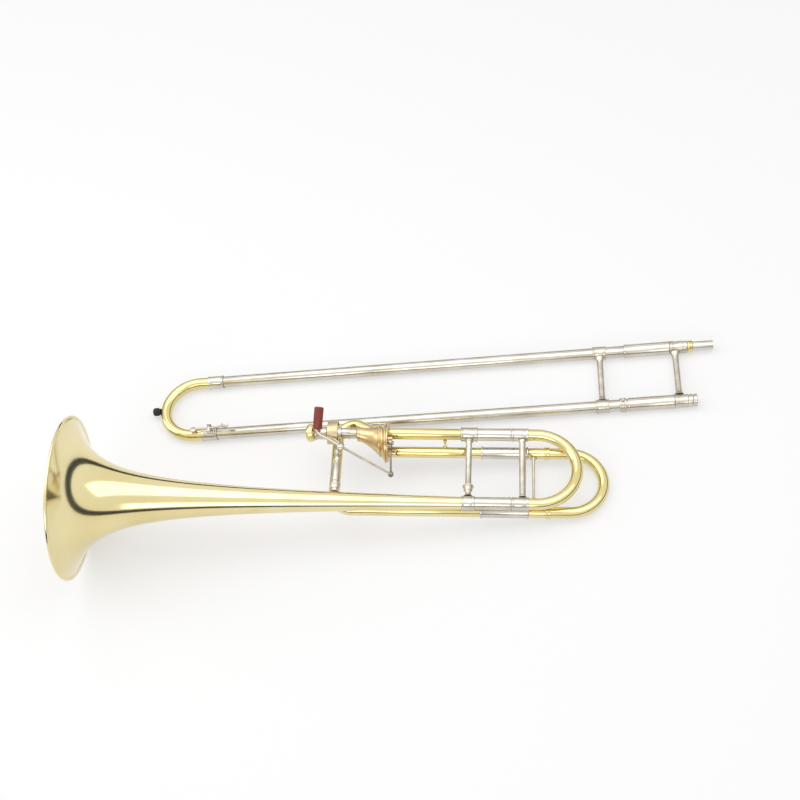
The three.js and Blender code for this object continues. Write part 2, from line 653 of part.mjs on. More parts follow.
// ---------------------------------------------------------------- hand slide

const HAND_Z = BARREL_R;
const TENON_END = -TENON_LENGTH;
const COLLAR_END = TENON_END - COLLAR_LENGTH;
const TEE_END = COLLAR_END - GAP - 24;
const BARREL_START = TEE_END - GAP;
const OUTER_START = BARREL_START - 5;
const CROOK_START = OUTER_START - SLIDE_LENGTH;
const INNER_END = CROOK_START + 26;
const INNER_BRACE_X = COLLAR_END - 18;
const OUTER_BRACE_X = BARREL_START - BARREL_LENGTH - 34;
const tubeY = [HAND_SPACING / 2, -HAND_SPACING / 2];
const sideName = ['upper', 'lower'];
const along = (x, y) => v3(x, y, HAND_Z);

// Every hand slide tube is written from its right end to its left, so its axis points to -x.
const leftward = v3(-1, 0, 0);

function buildInnerSlide(group) {
  const bore = INNER_R - LEG_WALL;
  tubeY.forEach((y, i) => {
    const tee = turned(along(COLLAR_END - GAP, y), leftward, [
      [0, INNER_R + GAP], [0, 8.4], [6, 8.4], [6.8, 9], [20, 9], [20.8, 9.4], [24, 9.4], [24, INNER_R + GAP],
    ]);
    piece(group, `inner_${sideName[i]}_ferrule`, tee, nickel);
    const tube = pipe(along(COLLAR_END - 3, y), along(INNER_END, y), INNER_R, bore);
    piece(group, `inner_${sideName[i]}_tube`, tube, nickel);
    piece(group, `cork_barrel_${sideName[i]}`, turned(along(BARREL_START, y), leftward, [
      [0, INNER_R + GAP], [0, BARREL_R], [BARREL_LENGTH, BARREL_R], [BARREL_LENGTH, OUTER_R + GAP],
      [3, OUTER_R + GAP], [3, INNER_R + GAP],
    ]), nickel);
  });
  const top = HAND_SPACING / 2 - 9.4 - GAP;
  piece(group, 'inner_slide_brace', turned(along(INNER_BRACE_X, top), v3(0, -1, 0), [
    [0, 0], [0, 6.6], [3, 5.2], [12, 4.2], [2 * top - 12, 4.2], [2 * top - 3, 5.2],
    [2 * top, 6.6], [2 * top, 0],
  ], FINE), nickel);
  piece(group, 'slide_tenon', turned(along(0, tubeY[0]), leftward, [
    [0, bore - 0.2], [0, TENON_R - 0.3], [TENON_LENGTH, TENON_R], [TENON_LENGTH, bore - 0.2],
  ]), nickel);
  piece(group, 'tenon_collar', turned(along(TENON_END - GAP, tubeY[0]), leftward, [
    [0, bore], [0, COLLAR_R - 0.6], [1, COLLAR_R], [COLLAR_LENGTH - GAP, COLLAR_R],
    [COLLAR_LENGTH - GAP, bore],
  ]), brass);
  piece(group, 'mouthpiece_receiver', turned(along(COLLAR_END + 5, tubeY[1]), leftward, [
    [0, 6.6], [0, 8.6], [3, 8.6], [3.6, 7.9], [5 - GAP, 7.9], [5 - GAP, 6.2],
  ]), nickel);
}

function buildOuterSlide(group) {
  const inner = OUTER_R - OUTER_WALL;
  tubeY.forEach((y, i) => {
    const tube = pipe(along(OUTER_START, y), along(CROOK_START, y), OUTER_R, inner);
    piece(group, `outer_${sideName[i]}_tube`, tube, nickel);
    piece(group, `crook_${sideName[i]}_ferrule`, turned(along(CROOK_START + HAND_FERRULE / 2, y), leftward, [
      [0, OUTER_R + GAP], [0, BARREL_R - 0.6], [2, BARREL_R], [HAND_FERRULE - 2, BARREL_R],
      [HAND_FERRULE, BARREL_R - 0.6], [HAND_FERRULE, OUTER_R + GAP],
    ]), nickel);
  });
  const half = 9;
  const sockets = tubeY.map((y) => turned(along(OUTER_BRACE_X + half, y), leftward, [
    [0, OUTER_R + GAP], [0, BARREL_R], [3, BARREL_R], [4, BARREL_R - 0.5], [2 * half - 4, BARREL_R - 0.5],
    [2 * half - 3, BARREL_R], [2 * half, BARREL_R], [2 * half, OUTER_R + GAP],
  ]));
  const top = HAND_SPACING / 2 - BARREL_R + 0.7;
  piece(group, 'outer_slide_brace', join(...sockets, turned(along(OUTER_BRACE_X, top), v3(0, -1, 0), [
    [0, 0], [0, 6.2], [3, 5], [10, 4.2], [2 * top - 10, 4.2], [2 * top - 3, 5], [2 * top, 6.2], [2 * top, 0],
  ], FINE)), nickel);
  const straight = 24;
  const bow = new Bow(along(CROOK_START - GAP, tubeY[0]), straight, HAND_SPACING / 2, -1);
  const holeX = CROOK_START - straight + 3;
  const hole = rod(v3(holeX, tubeY[1], HAND_Z + 2), v3(holeX, tubeY[1], HAND_Z + 14), 1.6, 8);
  const nipple = turned(v3(holeX, tubeY[1], HAND_Z + OUTER_R - 0.5), v3(0, 0, 1), [
    [0, 0], [0, 4], [2.8, 3.4], [2.8, 0],
  ], FINE);
  piece(group, 'slide_crook', cut(join(bent(bow, OUTER_R, inner, 18, 12), nipple), hole), brass);
  const tip = CROOK_START - GAP - straight - HAND_SPACING / 2 - OUTER_R - GAP;
  piece(group, 'crook_bumper', turned(v3(tip, 0, HAND_Z), leftward, [
    [0, 0], [0, 4.4], [3, 4.4], [3.4, 5.8], [9, 5.8], [11, 4.6], [11, 0],
  ], FINE), rubber);
  const top0 = HAND_Z + OUTER_R + GAP;
  const pinZ = HAND_Z + BARREL_R + 5;
  const saddleX = CROOK_START + 2;
  const ear = (side) => block(v3(saddleX, tubeY[1] + side * 5.2, pinZ - 0.4), v3(6, 1.6, 7.4));
  const base = block(v3(saddleX, tubeY[1], HAND_Z + BARREL_R + 1.1), v3(9, 12, 1.6));
  piece(group, 'water_key_saddle', join(base, ear(1), ear(-1), rod(
    v3(saddleX, tubeY[1] - 6.6, pinZ), v3(saddleX, tubeY[1] + 6.6, pinZ), 1, 8,
  )), nickel);
  return { holeX, saddleX, pinZ, padZ: top0 + 2.2 + GAP };
}

function buildWaterKey(group, { holeX, saddleX, pinZ, padZ }) {
  const y = tubeY[1];
  const cup = rod(v3(holeX, y, padZ + 1.8 + GAP), v3(holeX, y, padZ + 4.6), 4.4);
  const barrel = rod(v3(saddleX, y - 3.8, pinZ), v3(saddleX, y + 3.8, pinZ), 2.4);
  const pinHole = rod(v3(saddleX, y - 8, pinZ), v3(saddleX, y + 8, pinZ), 1.3, 8);
  const lever = new THREE.CatmullRomCurve3([
    v3(holeX, y, padZ + 3.4), v3(holeX + 8, y, pinZ + 0.4), v3(saddleX, y, pinZ),
    v3(saddleX + 14, y, pinZ + 2), v3(saddleX + 24, y, pinZ + 5),
  ]);
  const touch = rod(v3(saddleX + 24, y, pinZ + 4), v3(saddleX + 24.6, y, pinZ + 6.4), 5);
  piece(group, 'water_key', cut(join(cup, barrel, bent(lever, 1.5, 0, 10, 6), touch), pinHole), nickel);
  piece(group, 'water_key_pad', rod(v3(holeX, y, padZ), v3(holeX, y, padZ + 1.8), 4.1), cork);
}

function buildSlideLock(group) {
  const x = BARREL_START - BARREL_LENGTH - 2;
  const ring = pipe(along(x, tubeY[1]), along(x - 9, tubeY[1]), BARREL_R, OUTER_R + GAP);
  const lug = rod(v3(x - 4.5, tubeY[1], HAND_Z + 8.8), v3(x - 4.5, tubeY[1], HAND_Z + 14), 2, 8);
  piece(group, 'slide_lock_ring', join(ring, lug), nickel);
}

// ---------------------------------------------------------------- assembly

const bellSection = new THREE.Group();
const handSlide = new THREE.Group();

buildMainTubes(bellSection);
buildRearBrace(bellSection);
buildReceiver(bellSection);
buildSaddle(bellSection);
buildFrontBrace(bellSection);
buildValve(bellSection);
buildFTubes(bellSection);
buildFSlide(bellSection);
buildTuningSlide(bellSection);
buildTrigger(bellSection, bellSection, bellSection);
buildLockNut(bellSection);

buildInnerSlide(handSlide);
buildWaterKey(handSlide, buildOuterSlide(handSlide));
buildSlideLock(handSlide);

// The bell section lies on the lowest points of its rim and of the F bow.
const bowLow = F_DROP + F_TUBE_R;
const pitch = Math.asin((BELL_RADIUS - bowLow) / Math.hypot(F_BOW_X + F_BOW_RADIUS, BELL_RADIUS - bowLow));
bellSection.rotation.y = pitch;
handSlide.rotation.z = rad(HAND_YAW);
handSlide.position.set(HAND_END[0], HAND_END[1], 0);

const part = new THREE.Group();
part.add(bellSection, handSlide);
part.updateMatrixWorld(true);
const lowest = new THREE.Box3().setFromObject(bellSection, true).min.z;
bellSection.position.z = -lowest;
part.updateMatrixWorld(true);
const box = new THREE.Box3().setFromObject(part, true);
part.position.set(-(box.min.x + box.max.x) / 2, -(box.min.y + box.max.y) / 2, -box.min.z);

export default part;
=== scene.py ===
"""Looks of a tenor trombone with an axial-flow valve, taken apart into bell section and hand slide.

Every piece is modelled in the frame of its own section, in millimetres, and then laid where the
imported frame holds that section. Sizes repeat those of the construction.
"""

import json
import logging
import math
from dataclasses import dataclass
from enum import Enum

import bpy
from mathutils import Matrix, Vector


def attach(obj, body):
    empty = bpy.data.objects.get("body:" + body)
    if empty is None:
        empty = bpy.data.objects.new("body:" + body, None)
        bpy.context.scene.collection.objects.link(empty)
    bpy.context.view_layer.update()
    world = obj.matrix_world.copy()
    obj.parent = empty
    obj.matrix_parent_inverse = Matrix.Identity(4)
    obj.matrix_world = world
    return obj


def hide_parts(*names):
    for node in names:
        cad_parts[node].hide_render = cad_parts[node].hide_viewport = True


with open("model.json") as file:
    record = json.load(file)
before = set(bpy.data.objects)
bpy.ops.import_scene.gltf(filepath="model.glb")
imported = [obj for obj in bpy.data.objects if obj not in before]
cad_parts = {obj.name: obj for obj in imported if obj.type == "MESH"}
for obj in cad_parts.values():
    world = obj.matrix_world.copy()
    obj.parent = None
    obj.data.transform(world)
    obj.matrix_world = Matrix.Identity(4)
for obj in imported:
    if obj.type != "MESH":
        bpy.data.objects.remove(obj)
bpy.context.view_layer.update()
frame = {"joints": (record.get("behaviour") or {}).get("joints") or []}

# A millimetre in metres. Every other size here is in millimetres, except in the studio.
MM = 0.001
# The gap kept between pieces that rest on or sit in each other.
GAP = 0.3
# The bell's length, from its rim to the end of its stem.
BELL_LENGTH = 518.0
# How far the valve's loop lies below the main tubes.
LOOP_DROP = 20.2074
# Where the rotor turns, in the bell section's frame, and the lock ring, in the hand slide's.
ROTOR_PLACE = Vector((409.0, 98.0, -LOOP_DROP / 2))
LOCK_PLACE = Vector((-124.5, -45.0, 9.6))
# Directions of a section's frame: along its tubes, back, from its first tube to its second, and up.
AHEAD = Vector((1, 0, 0))
BACK = Vector((-1, 0, 0))
ACROSS = Vector((0, -1, 0))
UP = Vector((0, 0, 1))
# Edges sharper than the first angle are rounded, and those under the second are shaded smooth.
BEVEL_ANGLE = math.radians(28)
SMOOTH_ANGLE = math.radians(40)
LOG = logging.getLogger("trombone")

Profile = list[tuple[float, float]]


# ------------------------------------------------------------------ materials


def linear(hex_colour: str) -> tuple[float, float, float, float]:
    """Turns an sRGB hex colour into linear light.

    Args:
        hex_colour: six hex digits, such as "d9c36a".

    Returns:
        Red, green, blue and an alpha of 1.
    """
    values = [int(hex_colour[i : i + 2], 16) / 255 for i in (0, 2, 4)]
    lin = [v / 12.92 if v <= 0.04045 else ((v + 0.055) / 1.055) ** 2.4 for v in values]
    return (lin[0], lin[1], lin[2], 1.0)


def add_node(
    tree: bpy.types.NodeTree, kind: str, settings: dict | None = None, links: dict | None = None
) -> bpy.types.Node:
    """Adds a node, sets it up and links its inputs.

    Args:
        tree: the node tree to add to.
        kind: the node's type name.
        settings: attributes, or input names and their values.
        links: input names and the output sockets that feed them.

    Returns:
        The new node.
    """
    node = tree.nodes.new(kind)
    for key, value in (settings or {}).items():
        if isinstance(key, str) and hasattr(node, key):
            setattr(node, key, value)
        else:
            node.inputs[key].default_value = value
    for key, socket in (links or {}).items():
        tree.links.new(socket, node.inputs[key])
    return node


@dataclass(frozen=True)
class Finish:
    """A surface finish: what the material is and how its surface was made."""

    name: str
    light: str
    dark: str
    metallic: float
    roughness: float
    roughness_spread: float
    patch_mm: float
    grain_mm: float
    bump_mm: float
    stretch: tuple[float, float, float] = (1.0, 1.0, 1.0)
    coat: float = 0.0
    coat_roughness: float = 0.05

    def build(self) -> bpy.types.Material:
        """Makes the procedural material: slow colour drift, uneven gloss and a fine grain.

        Returns:
            The material, ready to put on a piece.
        """
        material = bpy.data.materials.new(self.name)
        material.use_nodes = True
        tree = material.node_tree
        shader = tree.nodes["Principled BSDF"]
        shader.inputs["Metallic"].default_value = self.metallic
        shader.inputs["Coat Weight"].default_value = self.coat
        shader.inputs["Coat Roughness"].default_value = self.coat_roughness
        place = add_node(tree, "ShaderNodeTexCoord")
        drift = add_node(
            tree,
            "ShaderNodeTexNoise",
            {"Scale": 1.0 / (self.patch_mm * MM), "Detail": 3.0},
            {"Vector": place.outputs["Object"]},
        )
        ramp = add_node(tree, "ShaderNodeValToRGB", links={"Fac": drift.outputs["Fac"]})
        ramp.color_ramp.elements[0].position = 0.3
        ramp.color_ramp.elements[0].color = linear(self.dark)
        ramp.color_ramp.elements[1].position = 0.7
        ramp.color_ramp.elements[1].color = linear(self.light)
        tree.links.new(ramp.outputs["Color"], shader.inputs["Base Color"])
        spread = add_node(
            tree, "ShaderNodeMapping", {"Scale": self.stretch}, {"Vector": place.outputs["Object"]}
        )
        grain = add_node(
            tree,
            "ShaderNodeTexNoise",
            {"Scale": 1.0 / (self.grain_mm * MM), "Detail": 4.0, "Roughness": 0.6},
            {"Vector": spread.outputs["Vector"]},
        )
        gloss = add_node(
            tree,
            "ShaderNodeMapRange",
            {
                "To Min": self.roughness - self.roughness_spread,
                "To Max": self.roughness + self.roughness_spread,
            },
            {"Value": grain.outputs["Fac"]},
        )
        tree.links.new(gloss.outputs["Result"], shader.inputs["Roughness"])
        bump = add_node(
            tree,
            "ShaderNodeBump",
            {"Strength": 1.0, "Distance": self.bump_mm * MM},
            {"Height": grain.outputs["Fac"]},
        )
        tree.links.new(bump.outputs["Normal"], shader.inputs["Normal"])
        return material


class Look(Enum):
    """The finishes on this instrument."""

    # Drawn and spun yellow brass, buffed bright and sprayed with clear lacquer: long clean
    # reflections under a thin glassy coat, with the faint ripple that hand buffing leaves.
    LACQUERED_BRASS = Finish(
        "lacquered_yellow_brass", "eadca4", "dccb8a", 1.0, 0.12, 0.03, 60.0, 9.0, 0.004, (
            0.35, 1.0, 1.0
        ), 0.35, 0.04
    )
    # The bell's brass is spun on a mandrel and buffed round, so its ripple is slower.
    SPUN_BRASS = Finish(
        "spun_yellow_brass", "ecdfae", "e0d096", 1.0, 0.13, 0.03, 90.0, 22.0, 0.005, (
            1.0, 1.0, 1.0
        ), 0.4, 0.05
    )
    # Nickel silver tube, drawn and wheel polished: paler and a little hazier than the brass.
    NICKEL_SILVER = Finish(
        "polished_nickel_silver", "dcd7cc", "c6bfb0", 1.0, 0.2, 0.05, 35.0, 2.4, 0.004, (0.2, 1.0, 1.0)
    )
    # Cast fittings of nickel silver, tumbled and hand filed: a satin, slightly pebbled skin.
    CAST_NICKEL = Finish("satin_cast_nickel_silver", "d6d0c3", "bdb5a5", 1.0, 0.3, 0.07, 12.0, 1.6, 0.012)
    # Turned bronze with fine tool marks: a warmer gold than the brass, and satin.
    TURNED_BRONZE = Finish(
        "turned_valve_bronze", "e5cda0", "ccb080", 1.0, 0.27, 0.06, 18.0, 1.2, 0.01, (3.0, 0.4, 0.4)
    )
    # Brushed sheet bronze of the saddle, almost cream in soft light.
    BRUSHED_SHEET = Finish(
        "brushed_pale_bronze_sheet", "dccba6", "c6b187", 1.0, 0.36, 0.06, 14.0, 1.0, 0.008, (
            0.3, 2.0, 2.0
        )
    )
    # Ground steel rod: grey, with streaks along its length.
    GROUND_STEEL = Finish(
        "ground_steel_rod", "a5a29b", "7e7b75", 1.0, 0.3, 0.08, 10.0, 0.8, 0.006, (0.3, 2.0, 2.0)
    )
    # Moulded grip sleeve in red-brown rubber with a fine leathery pebble.
    MOULDED_GRIP = Finish("moulded_grip_rubber", "963c31", "702b23", 0.0, 0.52, 0.1, 5.0, 1.1, 0.16)
    # Black rubber cut from rod: matt, dusty at the edges.
    BLACK_RUBBER = Finish("cut_black_rubber", "2c2b2a", "1b1a1a", 0.0, 0.7, 0.1, 4.0, 0.7, 0.05)
    # Natural cork: pale tan with darker grain pockets a millimetre or two across.
    CORK = Finish("pressed_cork", "c79a66", "8a5f38", 0.0, 0.8, 0.08, 1.4, 0.8, 0.08)


MATERIALS: dict[Look, bpy.types.Material] = {}


def material_of(look: Look) -> bpy.types.Material:
    """Finds a finish's material, made the first time it is asked for.

    Args:
        look: the finish.

    Returns:
        Its material.
    """
    if look not in MATERIALS:
        MATERIALS[look] = look.value.build()
    return MATERIALS[look]


# ------------------------------------------------------------------ modelling by hand


def v(x: float, y: float, z: float) -> Vector:
    """Shorthand for a point or direction."""
    return Vector((x, y, z))


def start_point(x: float, y: float, z: float) -> bpy.types.Object:
    """Starts a mesh as one selected vertex in edit mode, at a place in millimetres.

    Args:
        x: ahead.
        y: across.
        z: up.

    Returns:
        The object of the mesh.
    """
    bpy.ops.object.select_all(action="DESELECT")
    bpy.ops.mesh.primitive_plane_add(size=MM, location=(0, 0, 0))
    piece = bpy.context.object
    bpy.ops.object.mode_set(mode="EDIT")
    bpy.ops.mesh.select_mode(type="VERT")
    bpy.ops.mesh.select_all(action="SELECT")
    bpy.ops.mesh.merge(type="CENTER")
    bpy.ops.transform.translate(value=(x * MM, y * MM, z * MM))
    return piece


def extrude_by(step: Vector) -> None:
    """Extrudes what is selected by a step in metres."""
    bpy.ops.mesh.extrude_region_move(TRANSFORM_OT_translate={"value": tuple(step)})


def close_up() -> None:
    """Merges doubled points, turns the faces outwards and leaves edit mode."""
    bpy.ops.mesh.select_all(action="SELECT")
    bpy.ops.mesh.remove_doubles(threshold=0.00001)
    bpy.ops.mesh.normals_make_consistent(inside=False)
    bpy.ops.object.mode_set(mode="OBJECT")


def soften(piece: bpy.types.Object, width: float, segments: int = 2) -> None:
    """Rounds a piece's hard edges and shades it smooth between them.

    Args:
        piece: the piece, which is the active one.
        width: of the rounding in millimetres, or 0 for none.
        segments: steps across the rounding.
    """
    if width > 0:
        bevel = piece.modifiers.new("edge", "BEVEL")
        bevel.width = width * MM
        bevel.segments = segments
        bevel.limit_method = "ANGLE"
        bevel.angle_limit = BEVEL_ANGLE
        bpy.ops.object.modifier_apply(modifier=bevel.name)
    bpy.ops.object.shade_smooth_by_angle(angle=SMOOTH_ANGLE)


def thicken(piece: bpy.types.Object, wall: float) -> None:
    """Gives an open skin a wall of a thickness, on its inner side.

    Args:
        piece: the skin, which is the active object.
        wall: thickness in millimetres.
    """
    shell = piece.modifiers.new("wall", "SOLIDIFY")
    shell.thickness = wall * MM
    shell.offset = -1
    bpy.ops.object.modifier_apply(modifier=shell.name)


def pick(piece: bpy.types.Object) -> None:
    """Makes a piece the active one, with nothing else selected.

    Args:
        piece: the piece.
    """
    bpy.ops.object.select_all(action="DESELECT")
    piece.select_set(True)
    bpy.context.view_layer.objects.active = piece


def seat(piece: bpy.types.Object, where: Matrix) -> None:
    """Bakes a place into the mesh, so that the object itself stays at the origin.

    Args:
        piece: the piece.
        where: the placement to bake in.
    """
    piece.matrix_world = where @ piece.matrix_world
    pick(piece)
    bpy.ops.object.transform_apply(location=True, rotation=True, scale=True)


def facing(origin: Vector, direction: Vector) -> Matrix:
    """Returns the placement that puts the x axis along a direction, from an origin in mm."""
    turn = AHEAD.rotation_difference(direction.normalized())
    return Matrix.Translation(origin * MM) @ turn.to_matrix().to_4x4()


def turned(
    origin: Vector, direction: Vector, profile: Profile, steps: int = 64, edge: float = 0.25
) -> bpy.types.Object:
    """Turns a profile about an axis, as on a lathe.

    Args:
        origin: where the axis starts, in mm.
        direction: which way it points.
        profile: distances along the axis and radii; it is solid where it starts and ends at
            radius 0, and is otherwise closed into a ring.
        steps: facets round the axis.
        edge: rounding of the hard edges, in mm.

    Returns:
        The new object, with its place in its mesh.
    """
    outline = list(profile)
    if outline[0][1] > 0:
        outline.append(outline[0])
    piece = start_point(outline[0][0], 0, outline[0][1])
    for before, after in zip(outline, outline[1:]):
        extrude_by(Vector(((after[0] - before[0]) * MM, 0, (after[1] - before[1]) * MM)))
    bpy.ops.mesh.select_all(action="SELECT")
    bpy.ops.mesh.spin(steps=steps, angle=2 * math.pi, center=(0, 0, 0), axis=(1, 0, 0))
    close_up()
    seat(piece, facing(origin, direction))
    soften(piece, edge)
    return piece


@dataclass(frozen=True)
class Straight:
    """A straight length of a bent tube."""

    length: float

    def draw(self, heading: Vector, at: Vector, side: Vector) -> tuple[Vector, Vector, Vector]:
        """Extrudes the open ring ahead and returns the new heading, place and side."""
        extrude_by(heading * self.length * MM)
        return heading, at + heading * self.length, side


@dataclass(frozen=True)
class Bend:
    """A bend of a tube towards its side direction."""

    radius: float
    angle: float
    steps: int = 24

    def draw(self, heading: Vector, at: Vector, side: Vector) -> tuple[Vector, Vector, Vector]:
        """Spins the open ring round the bend.

        Args:
            heading: direction in which the ring goes.
            at: centre of the ring, in millimetres.
            side: direction that the bend turns towards.

        Returns:
            The heading, the place and the side after the bend.
        """
        axis = heading.cross(side).normalized()
        centre = at + side * self.radius
        bpy.ops.mesh.spin(steps=self.steps, angle=-self.angle, center=centre * MM, axis=axis)
        turn = Matrix.Rotation(self.angle, 3, axis)
        return turn @ heading, centre + turn @ (at - centre), turn @ side


def drawn(
    at: Vector, heading: Vector, side: Vector, radius: float, runs: list, wall: float = 0.0, sides: int = 48
) -> bpy.types.Object:
    """Draws a round tube or bar through straight runs and bends.

    Args:
        at: the centre of its first end, in mm.
        heading: which way it leaves.
        side: the direction that its bends turn towards, until runs gives a new one.
        radius: outside radius.
        runs: Straight and Bend lengths in order, with a new side Vector before a bend that needs it.
        wall: thickness of a tube's wall; 0 makes a solid bar.
        sides: facets round the tube.

    Returns:
        The new object, with its place in its mesh.
    """
    bpy.ops.object.select_all(action="DESELECT")
    bpy.ops.mesh.primitive_circle_add(vertices=sides, radius=radius * MM, fill_type="NOTHING")
    piece = bpy.context.object
    turn = UP.rotation_difference(heading.normalized())
    piece.matrix_world = Matrix.Translation(at * MM) @ turn.to_matrix().to_4x4()
    bpy.ops.object.transform_apply(location=True, rotation=True, scale=True)
    bpy.ops.object.mode_set(mode="EDIT")
    bpy.ops.mesh.select_all(action="SELECT")
    if wall == 0:
        bpy.ops.mesh.edge_face_add()
        bpy.ops.mesh.select_all(action="SELECT")
    heading = heading.normalized()
    for run in runs:
        if isinstance(run, Vector):
            side = run
            continue
        heading, at, side = run.draw(heading, at, side)
    close_up()
    if wall > 0:
        thicken(piece, wall)
    soften(piece, 0.2 if wall > 0 else 0.3)
    return piece


def bar(
    start: Vector, end: Vector, radius: float, edge: float = 0.3, steps: int = 32
) -> bpy.types.Object:
    """Turns a plain bar between two points."""
    length = (end - start).length
    return turned(start, end - start, [(0, 0), (0, radius), (length, radius), (length, 0)], steps, edge)


def ball(centre: Vector, radius: float) -> bpy.types.Object:
    """Turns a ball from a half-round profile.

    Args:
        centre: its centre in millimetres.
        radius: its radius in millimetres.

    Returns:
        The ball.
    """
    arc = [math.pi * i / 12 for i in range(13)]
    profile = [(-radius * math.cos(a), abs(radius * math.sin(a))) for a in arc]
    profile[0] = (-radius, 0)
    profile[-1] = (radius, 0)
    return turned(centre, AHEAD, profile, 32, 0)


def combined(base: bpy.types.Object, others: list[bpy.types.Object], how: str) -> bpy.types.Object:
    """Applies a boolean modifier to a piece for each other shape, and removes those shapes.

    Args:
        base: the piece that is kept.
        others: the shapes that are united with it or cut from it.
        how: UNION or DIFFERENCE.

    Returns:
        The piece.
    """
    for other in others:
        pick(base)
        step = base.modifiers.new("combine", "BOOLEAN")
        step.operation = how
        step.solver = "EXACT"
        step.object = other
        bpy.ops.object.modifier_apply(modifier=step.name)
        bpy.data.objects.remove(other, do_unlink=True)
    bpy.ops.object.shade_smooth_by_angle(angle=SMOOTH_ANGLE)
    return base


def welded(pieces: list[bpy.types.Object]) -> bpy.types.Object:
    """Unites pieces into the first of them, and joins what does not touch."""
    return combined(pieces[0], pieces[1:], "UNION")


def drilled(base: bpy.types.Object, cutters: list[bpy.types.Object]) -> bpy.types.Object:
    """Cuts shapes out of a piece."""
    return combined(base, cutters, "DIFFERENCE")


def mirrored(length: float, end: Profile) -> Profile:
    """Completes the profile of a turned piece whose two ends are alike.

    Args:
        length: the whole length.
        end: the points of its first end.

    Returns:
        Those points, then the same ones mirrored about the middle.
    """
    return end + [(length - x, r) for x, r in reversed(end)]


def start_box(centre: Vector, size: Vector) -> bpy.types.Object:
    """Adds a box of a size at a place, with its place in its mesh.

    Args:
        centre: its centre in millimetres.
        size: its edge lengths in millimetres.

    Returns:
        The box.
    """
    bpy.ops.object.select_all(action="DESELECT")
    bpy.ops.mesh.primitive_cube_add(size=1, location=centre * MM, scale=size * MM)
    piece = bpy.context.object
    bpy.ops.object.transform_apply(location=True, rotation=True, scale=True)
    return piece


@dataclass
class Section:
    """One of the two sections, with the placement of its frame and a way to finish pieces."""

    place: Matrix

    def finish(
        self, piece: bpy.types.Object, name: str, look: Look, body: str, *nodes: str
    ) -> bpy.types.Object:
        """Lays a piece in its section, dresses it, and says what it rides on and replaces.

        Args:
            piece: the piece, in its section's millimetre frame.
            name: the name that it gets.
            look: its finish.
            body: the body that it rides on.
            nodes: the nodes of the CAD that it replaces.

        Returns:
            The finished piece.
        """
        seat(piece, self.place)
        piece.name = name
        piece.data.name = name
        piece.data.materials.clear()
        piece.data.materials.append(material_of(look))
        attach(piece, body)
        if nodes:
            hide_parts(*nodes)
        LOG.info("made %s", name)
        return piece


def routed(
    points: list[Vector], bend_radius: float, radius: float, wall: float = 0.0, sides: int = 32
) -> bpy.types.Object:
    """Draws a tube or bar along straight lines between points, rounding each corner.

    Args:
        points: the corners of the route, in mm.
        bend_radius: radius of the rounding at each corner.
        radius: outside radius of the bar or tube.
        wall: wall of a tube, or 0 for a bar.
        sides: facets round it.

    Returns:
        The new object.
    """
    runs: list = []
    trimmed = 0.0
    for before, corner, after in zip(points, points[1:], points[2:]):
        coming = (corner - before).normalized()
        going = (after - corner).normalized()
        angle = coming.angle(going)
        setback = bend_radius * math.tan(angle / 2)
        runs.append(Straight((corner - before).length - trimmed - setback))
        runs.append((going - coming * going.dot(coming)).normalized())
        runs.append(Bend(bend_radius, angle, max(4, int(math.degrees(angle) / 5))))
        trimmed = setback
    runs.append(Straight((points[-1] - points[-2]).length - trimmed))
    first = points[1] - points[0]
    return drawn(points[0], first, UP, radius, runs, wall, sides)


# ------------------------------------------------------------------ bell section


@dataclass
class Tubing:
    """Sizes that the bell section's tubes, sleeves and ferrules share, in millimetres."""

    leg_spacing: float = 106.0
    tube_r: float = 7.6
    tube_wall: float = 0.8
    leg_r: float = 7.4
    leg_wall: float = 0.7
    leg_inset: float = 3.0
    sleeve_r: float = 8.4
    sleeve_inner: float = 7.7
    ferrule_r: float = 9.9
    sleeve_start: float = 518.3
    sleeve_end: float = 574.3
    rear_brace_x: float = 519.0
    plate_back: float = 411.9


def beaded_ferrule(
    x: float, y: float, z: float, length: float, inner: float, outer: float
) -> bpy.types.Object:
    """Turns a ferrule with a rounded bead at each end and a hollowed waist.

    Args:
        x: station of its middle.
        y: its axis across the section.
        z: its axis's height.
        length: its length.
        inner: bore radius.
        outer: radius over the beads.

    Returns:
        The new object, not yet finished.
    """
    waist = outer - 0.55
    end = [
        (0.0, outer - 0.5), (0.35, outer - 0.12), (0.9, outer), (1.5, outer - 0.1), (1.9, outer - 0.4),
        (2.3, waist),
    ]
    groove = [(3.1, waist), (3.3, waist - 0.22), (3.6, waist)]
    profile = mirrored(length, [(0.0, inner)] + end + groove)
    return turned(v(x - length / 2, y, z), AHEAD, profile, 64, 0.12)


